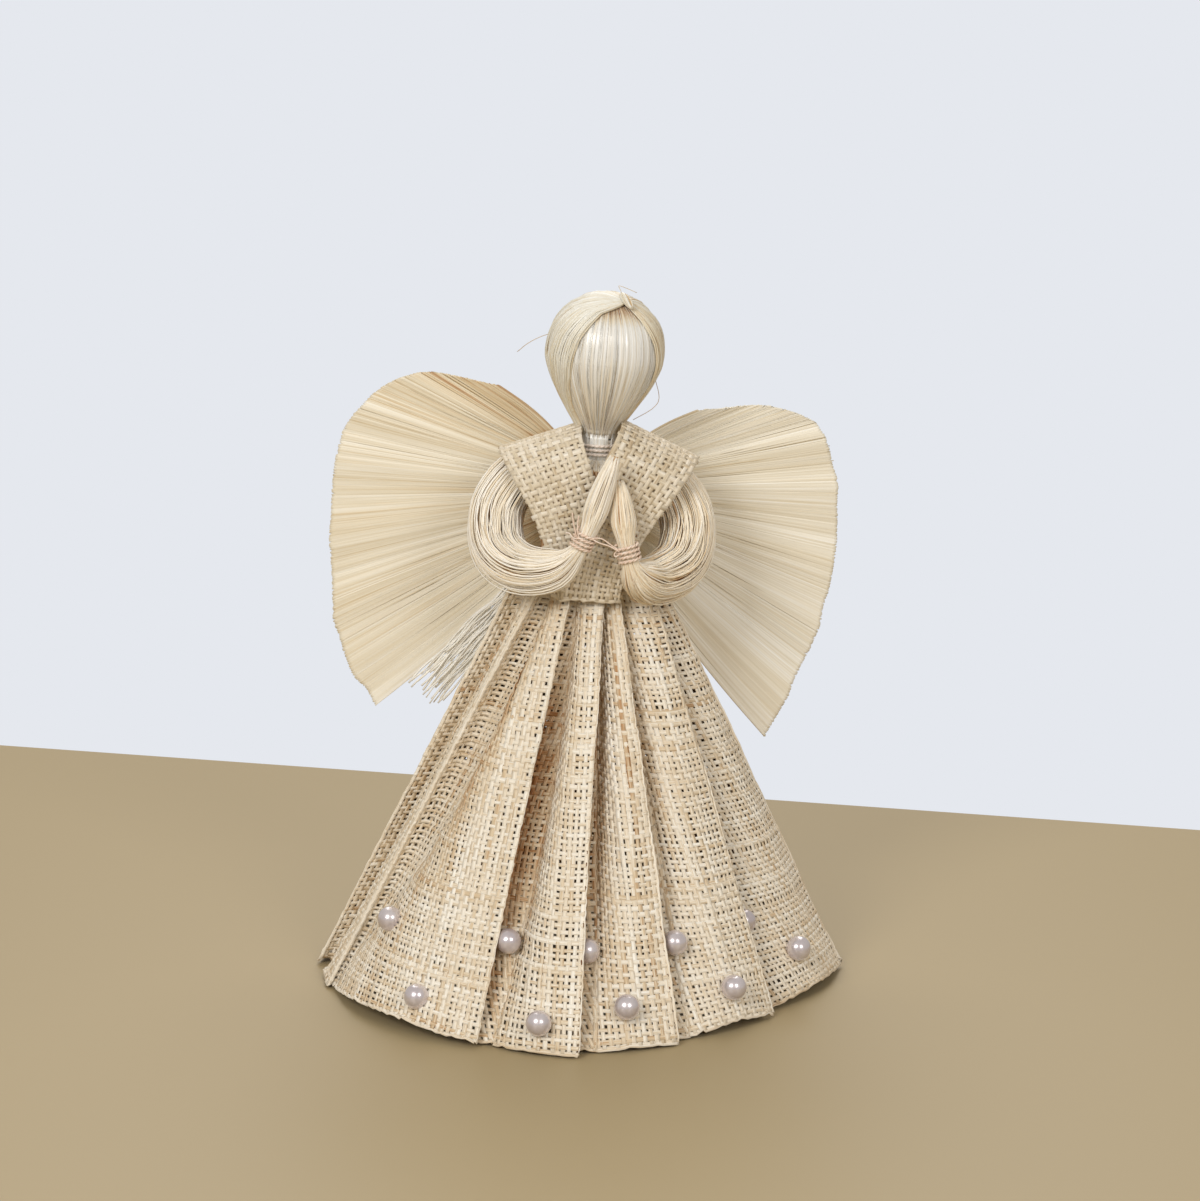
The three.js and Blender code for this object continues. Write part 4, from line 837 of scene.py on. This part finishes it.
paths = on_head(share + turn * 0, turn, 0.02 + wander(rng, FACE_STRANDS, 10, FACE_POINTS) * 0.03)
tone = np.clip(rng.normal(0.64, 0.15, (FACE_STRANDS, 1)) + wrap_shade(share), 0.05, 1)
head_strands = strands("head_strands", stand(paths), FACE_FIBRE, tone, off_head(paths), wrap_fibre, sides=3)
NECK_STRANDS, NECK_POINTS, NECK_FIBRE, NECK_REACH = 110, 6, 0.17, 2.78
turn = rng.uniform(0, 2 * np.pi, NECK_STRANDS)[:, None] + np.zeros(NECK_POINTS)
height = np.linspace(21.9, WRAP_FOOT + 0.6, NECK_POINTS)
paths = np.stack([NECK_REACH * np.sin(turn), -NECK_REACH * np.cos(turn), height + turn * 0], -1)
outwards = np.stack([np.sin(turn), -np.cos(turn), turn * 0], -1)
tone = rng.uniform(0.5, 0.85, NECK_STRANDS)
neck_strands = strands("neck_strands", stand(paths), NECK_FIBRE, tone, outwards, wrap_fibre)
for part in (head_fibre, head_strands, neck_strands):
    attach(part, "head")
    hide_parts("head_wrap")

BALL_SHADES = (226, 224, 216), (246, 245, 240)
ball_paper, shader = clouded_finish("ball_paper", 900.0, BALL_SHADES, (0, 1))
dial(shader, {"Roughness": 0.9})
frame["nodes"]["head_core"].data.materials.clear()
frame["nodes"]["head_core"].data.materials.append(ball_paper)


# The hair: straw-coloured fibre laid over the head in two combed locks from a parting right of the crown.
# Each lock sweeps down its side to the nape in broad flat bands, and a small knot sits on the parting.
PARTING = 33
HAIRLINES = {
    "left": [(0.92, 33), (0.65, -16), (0.24, -29), (-0.44, -40), (-1.2, -62)],
    "right": [(0.92, 33), (0.6, 48), (0.2, 59), (-0.62, 75), (-1.2, 85)],
}
HAIR_SHADES = [
    (0, (104, 66, 34)), (0.25, (198, 166, 118)), (0.5, (224, 212, 186)), (0.75, (230, 226, 213)), (1, (247, 246, 241)),
]
HAIR_POINTS, HAIR_LIFT, BAND_LIFT, BAND_COUNT = 34, 0.36, 0.12, 5
KNOT_TILT, KNOT_LIFT = 30, 0.45
# Where a lock splits into bands: the share across it, the half width, and the stretch of its length
SPLITS = {"left": [(0.42, 0.012, 0.08, 0.5), (0.31, 0.008, 0.26, 0.48)], "right": [(0.3, 0.008, 0.1, 0.5)]}
SPLIT_DROP, SPLIT_SHADE, TIP_SHADE = 0.3, 0.6, 0.12
hair_fibre = fibre_finish("hair_fibre", HAIR_SHADES, streak=(0.2, 2.5), spread=0.2, roughness=(0.2, 0.42), bump=0.3)
crown, nape = head_share(HEAD_HEIGHT + WRAP_RADIUS - 0.15), head_share(WRAP_FOOT + 0.8)


def hair_angle(line, share, across, flank):
    z = np.interp(share * outline_run[-1], outline_run, outline_line[:, 1])
    marks = np.array(line)[::-1]
    front = np.interp((z - HEAD_HEIGHT) / WRAP_RADIUS, marks[:, 0], marks[:, 1])
    return np.radians(front + (PARTING + flank * 180 - front) * across)


head_centre = np.array([0, 0, HEAD_HEIGHT])
knot_share = head_share(HEAD_HEIGHT + WRAP_RADIUS * math.cos(math.radians(KNOT_TILT)))
knot_foot = on_head(knot_share, math.radians(PARTING), KNOT_LIFT)


def from_knot(paths):
    # All strands leave the knot and take their own way over the head within a third of their length
    ease = np.clip(np.linspace(0, 1, paths.shape[1]) / 0.34, 0, 1)[:, None]
    ease = ease * ease * (3 - 2 * ease)
    way = unit((knot_foot - head_centre) * (1 - ease) + (paths - head_centre) * ease)
    reach = np.linalg.norm(paths - head_centre, axis=-1, keepdims=True)
    return head_centre + way * (np.linalg.norm(knot_foot - head_centre) * (1 - ease) + reach * ease)


for flank, label, count, shade in ((-1, "left", 210, 0.74), (1, "right", 230, 0.54)):
    rng = np.random.default_rng(51 + flank)
    across = np.sort(rng.uniform(0, 1, count))[:, None]
    way = np.linspace(0, 1, HAIR_POINTS)[None]
    share = crown + (nape - crown) * way + across * 0
    split = 0
    for at, half, start, end in SPLITS[label]:
        split = split + np.exp(-(((across - at) / half) ** 2)) * ((way > start) & (way < end))
    band = np.sin(across * 2 * np.pi * BAND_COUNT + wander(rng, 1, 10, HAIR_POINTS) * 0.5)
    lift = HAIR_LIFT + BAND_LIFT * band + rng.uniform(-0.1, 0.2, (count, 1))
    lift = lift + wander(rng, count, 9, HAIR_POINTS) * 0.05 - SPLIT_DROP * split
    lift = lift * (1 - 0.75 * np.exp(-((across / 0.12) ** 2)) * np.clip(way * 2.6 - 1, 0, 1))
    angle = hair_angle(HAIRLINES[label], share, across + wander(rng, count, 12, HAIR_POINTS) * 0.006, flank)
    paths = from_knot(on_head(share, angle, np.maximum(lift, 0.05)))
    # The splits are painted dark as the shade in the gaps between the bands
    tone = rng.normal(shade, 0.12, (count, 1)) - TIP_SHADE * np.clip(way * 2 - 1, 0, 1) - SPLIT_SHADE * split
    tone, thick = np.clip(tone, 0.02, 1), rng.uniform(0.12, 0.2, (count, 1))
    lock = strands(f"hair_{label}_fibre", stand(paths), thick, tone, off_head(paths), hair_fibre)
    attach(lock, "head")
    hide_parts(f"hair_{label}")

KNOT_STRANDS, KNOT_POINTS, KNOT_FIBRE = 40, 14, 0.14
KNOT_SINK, KNOT_HALF, KNOT_SWELL = 0.9, 1.9, 0.6
rng = np.random.default_rng(61)
low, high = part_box("hair_knot")
knot_centre = np.array((low + high) / 2) / MM
parting = math.radians(PARTING)
knot_out = unit(np.array([math.sin(parting) * 0.5, -math.cos(parting) * 0.5, 0.87]))
knot_lie = np.array([-0.45, 0.75, 0.35])
knot_along = unit(knot_lie - knot_out * np.dot(knot_lie, knot_out))
knot_side = np.cross(knot_out, knot_along)
knot_centre = knot_centre - knot_out * KNOT_SINK
turn = rng.uniform(0, 2 * np.pi, KNOT_STRANDS)[:, None] + np.linspace(0, 1.2, KNOT_POINTS)
reach = np.linspace(-1, 1, KNOT_POINTS)
swell = KNOT_SWELL * np.sqrt(np.clip(1 - (reach * 0.94) ** 2, 0, 1)) * rng.uniform(0.5, 1, (KNOT_STRANDS, 1))
ring = np.cos(turn)[..., None] * knot_side + np.sin(turn)[..., None] * knot_out
paths = knot_centre + (reach * KNOT_HALF)[:, None] * knot_along + ring * swell[..., None]
tone = np.clip(rng.normal(0.62, 0.14, KNOT_STRANDS), 0.2, 1)
knot = strands("hair_knot_fibre", paths, KNOT_FIBRE, tone, ring, hair_fibre)
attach(knot, "head")
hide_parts("hair_knot")

STRAYS = [
    [(-8.6, 0, 42), (-10.7, 0, 41.1), (-12.6, 0, 39.9), (-14.2, 0, 38.4)],
    [(2.4, -3, 48.6), (1.6, -2.4, 50), (1.5, -2, 50.6), (4.3, -2, 49.7)],
    [(8.3, 1, 36), (9.3, 0, 32.7), (8.3, 0, 30.8), (5.4, 0.5, 28.7)],
]
paths = np.array([smooth_path(marks, 16) for marks in STRAYS])
strays = strands("hair_strays", stand(paths), 0.05, [0.3, 0.35, 0.25], BACKWARD, hair_fibre)
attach(strays, "head")


# The wings: one flat hank of fibre bound in its middle against the back and spread as a fan on each side.
# The fibres lie side by side like satin, with tan streaks among the pale ones, and are trimmed round.
WING_ROOT = (9.5, 19.5)
WING_HINGE, WING_Y = 2.5, 12.4
WING_SWEEP = math.tan(math.radians(10))
WING_EDGES = {
    -1: [(34.2, -26.8), (40.3, -18), (43, -7), (44.2, 5), (43.5, 17.8), (39.3, 26), (30, 31.3), (16.8, 30.5)],
    1: [
        (32.4, -26.6), (37.4, -15.8), (40.6, -5.3), (41.6, 6.5),
        (40.9, 18.5), (37.2, 26.9), (28.5, 30.3), (16.2, 28.9),
    ],
}
WING_STREAKS = {
    -1: [(0.43, 0.03, 0.12), (0.36, 0.014, 0.1), (0.29, 0.01, 0.08)],
    1: [(0.62, 0.02, 0.07), (0.4, 0.02, 0.08)],
}
WING_SHADE_FADE = {-1: (0.74, 0.3), 1: (0.8, 0.62)}
ROOT_SHADE, ROOT_REACH = 0.5, 0.36
WING_COLUMNS, WING_ROWS, WING_DEPTH = 620, 18, 0.3
WING_STRANDS, WING_POINTS, WING_STRAND = 170, 16, 0.08
WING_SHADES = [
    (0, (160, 104, 50)), (0.25, (212, 190, 152)), (0.5, (229, 218, 194)), (0.75, (238, 231, 214)), (1, (250, 247, 239)),
]
wing_fibre = fibre_finish("wing_fibre", WING_SHADES, streak=(0.035, 3.0), spread=0.16, roughness=(0.3, 0.5), bump=0.35)


def on_wing(flank, round_share, out_share, lift):
    wing_edge = smooth_path(WING_EDGES[flank], 800)
    edge_share = np.linspace(0, 1, len(wing_edge))
    edge = np.stack([np.interp(round_share, edge_share, wing_edge[:, i]) for i in range(2)], -1)
    root_z = WING_ROOT[0] + (WING_ROOT[1] - WING_ROOT[0]) * round_share
    x = WING_HINGE + (edge[..., 0] - WING_HINGE) * out_share
    z = root_z + (edge[..., 1] - root_z) * out_share
    full_edge = 1.1 * np.clip(6 * round_share - 5, 0, 1) - 1.8 * np.clip(1 - 6 * round_share, 0, 1)
    z = z + full_edge * np.sin(np.pi * np.clip(out_share, 0, 1))
    ripple = 0.25 * out_share * np.sin(2 * np.pi * 7 * round_share)
    return np.stack([flank * x, WING_Y + (x - WING_HINGE) * WING_SWEEP + ripple + lift, z], -1)


for flank, label in ((-1, "left"), (1, "right")):
    rng = np.random.default_rng(71 + flank)
    column = np.linspace(0, 1, WING_COLUMNS)[:, None]
    row = np.append(np.linspace(0, 0.985, WING_ROWS - 1), 1)[None]
    trim = 1 - np.abs(rng.normal(0, 0.004, (WING_COLUMNS, 1))) + wander(rng, 1, 30, WING_COLUMNS).T * 0.006
    groove = rng.normal(0, 0.016, (WING_COLUMNS, 1)) + wander(rng, 1, 9, WING_COLUMNS).T * 0.04
    spots = on_wing(flank, column + row * 0, row * trim, groove * (0.4 + 0.6 * row))
    # The wings are painted darker towards their tops, the left one most, as painted shade; the tan streaks are the
    # fibre's own colour
    shade_and_streaks = np.linspace(*WING_SHADE_FADE[flank], WING_COLUMNS)
    for at, half, deep in WING_STREAKS[flank]:
        shade_and_streaks = shade_and_streaks - deep * np.exp(-(((column[:, 0] - at) / half) ** 2))
    streak = shade_and_streaks + 0.06 * rng.normal(0, 1, WING_COLUMNS)
    streak = streak + 0.05 * wander(rng, 1, 9, WING_COLUMNS)[0] + 0.05 * wander(rng, 1, 60, WING_COLUMNS)[0]
    # Painted shade near the root, where the wing lies behind the arms and bodice
    painted_root_shade = ROOT_SHADE * np.clip(1 - row / ROOT_REACH, 0, 1) ** 0.7
    tone = np.clip(streak[:, None] + wander(rng, WING_COLUMNS, 8, WING_ROWS) * 0.05 - painted_root_shade, 0.02, 1)
    lie = np.stack([row * 40 + column * 0, column * 44 + row * 0, column * 0 + row * 0], -1)
    whole = np.ones((WING_COLUMNS - 1, WING_ROWS - 1), bool)
    sheet = on_grid(f"wing_{label}_fan", stand(spots), whole, tone, lie, wing_fibre)
    if flank > 0:
        sheet.data.flip_normals()
    thicken(sheet, WING_DEPTH)
    column = rng.uniform(0.002, 0.998, WING_STRANDS)[:, None]
    row = np.linspace(0.0, 1, WING_POINTS)[None] * rng.uniform(0.75, 1.0, (WING_STRANDS, 1))
    face = np.where(rng.uniform(0, 1, (WING_STRANDS, 1)) < 0.6, -1, 1)
    drift = np.clip(column + wander(rng, WING_STRANDS, 8, WING_POINTS) * 0.004 * row, 0, 1)
    paths = on_wing(flank, drift, row, face * (0.14 + rng.uniform(0, 0.2, (WING_STRANDS, 1))) + 0.15)
    tone = np.clip(rng.normal(0.6, 0.14, WING_STRANDS), 0.05, 1)
    fibres = strands(f"wing_{label}_strands", stand(paths), WING_STRAND, tone, BACKWARD, wing_fibre)
    for part in (sheet, fibres):
        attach(part, f"wing_{label}")
        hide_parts(f"wing_{label}")

GATHER_STRANDS, GATHER_POINTS, GATHER_FIBRE = 90, 12, 0.3
GATHER_HALF, GATHER_DEEP, GATHER_TALL, GATHER_HEIGHT = 1.95, 1.6, 5, 14.5
WING_TIE_HALVES = (5.05, 1.65)
rng = np.random.default_rng(81)
turn = rng.uniform(0, 2 * np.pi, GATHER_STRANDS)[:, None] + np.zeros(GATHER_POINTS)
along = np.linspace(-GATHER_HALF, GATHER_HALF, GATHER_POINTS)
pinch = 1 - 0.3 * np.exp(-((along / 1.0) ** 4))
deep = GATHER_DEEP * np.clip(pinch, 0, 1) * np.sqrt(rng.uniform(0.5, 1, (GATHER_STRANDS, 1)))
tall = (GATHER_TALL - 0.5 * (1 - pinch) / 0.3) * np.sqrt(rng.uniform(0.6, 1, (GATHER_STRANDS, 1)))
paths = np.stack([along + turn * 0, WING_Y + deep * np.cos(turn), GATHER_HEIGHT + tall * np.sin(turn)], -1)
outwards = np.stack([turn * 0, np.cos(turn), np.sin(turn)], -1)
tone = np.clip(rng.normal(0.5, 0.16, GATHER_STRANDS), 0.1, 1)
gather = strands("wing_gather_fibre", stand(paths), GATHER_FIBRE, tone, outwards, wing_fibre)
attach(gather, "body")
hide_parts("wing_gather")
gather_place = np.array([0, WING_Y, GATHER_HEIGHT])
wound_thread("wing_thread", gather_place, ACROSS, WING_TIE_HALVES, UPWARD, 3, 0.5, "wing_tie")


# The fringe: frayed fibre ends that stick out at the left below the waist, from behind the bodice.
# They are the trimmed ends of the bundle, crimped where they were folded.
FRINGE_STRANDS, FRINGE_POINTS, FRINGE_FALL = 72, 30, math.radians(40)
FRINGE_SPINE = [(-3.8, 11.4, 2.2), (-10, 11.8, -2.5), (-17, 10.8, -10.5), (-26.4, 9.3, -22.4)]
FRINGE_WIDTHS, CRIMP = (3, 6.4), 0.27
rng = np.random.default_rng(91)
fan = np.array([math.cos(FRINGE_FALL), 0, -math.sin(FRINGE_FALL)])
spine = smooth_path(FRINGE_SPINE, FRINGE_POINTS)
spread = rng.uniform(-0.5, 0.5, (FRINGE_STRANDS, 1)) * np.linspace(*FRINGE_WIDTHS, FRINGE_POINTS)
crimp = np.sin(np.linspace(0, 22, FRINGE_POINTS) + rng.uniform(0, 6, (FRINGE_STRANDS, 1))) * CRIMP
paths = spine + (spread + crimp)[..., None] * fan
forward = np.clip(rng.normal(-0.3, 0.3, (FRINGE_STRANDS, 1)), -0.9, 0)
paths[..., 1] += forward + np.clip(wander(rng, FRINGE_STRANDS, 12, FRINGE_POINTS) * 0.2, -0.4, 0.1)
paths = cut_short(paths, rng.uniform(0.8, 1, FRINGE_STRANDS))
thick = rng.uniform(0.11, 0.18, (FRINGE_STRANDS, 1))
# The fringe is painted as pale as the fibre goes, as painted light where it hangs in the shade of the skirt and wing
tone = np.clip(rng.normal(1.0, 0.08, FRINGE_STRANDS), 0.3, 1.1)
fringe = strands("tail_fringe_fibre", stand(paths), thick, tone, BACKWARD, wing_fibre)
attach(fringe, "body")
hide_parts("tail_fringe")
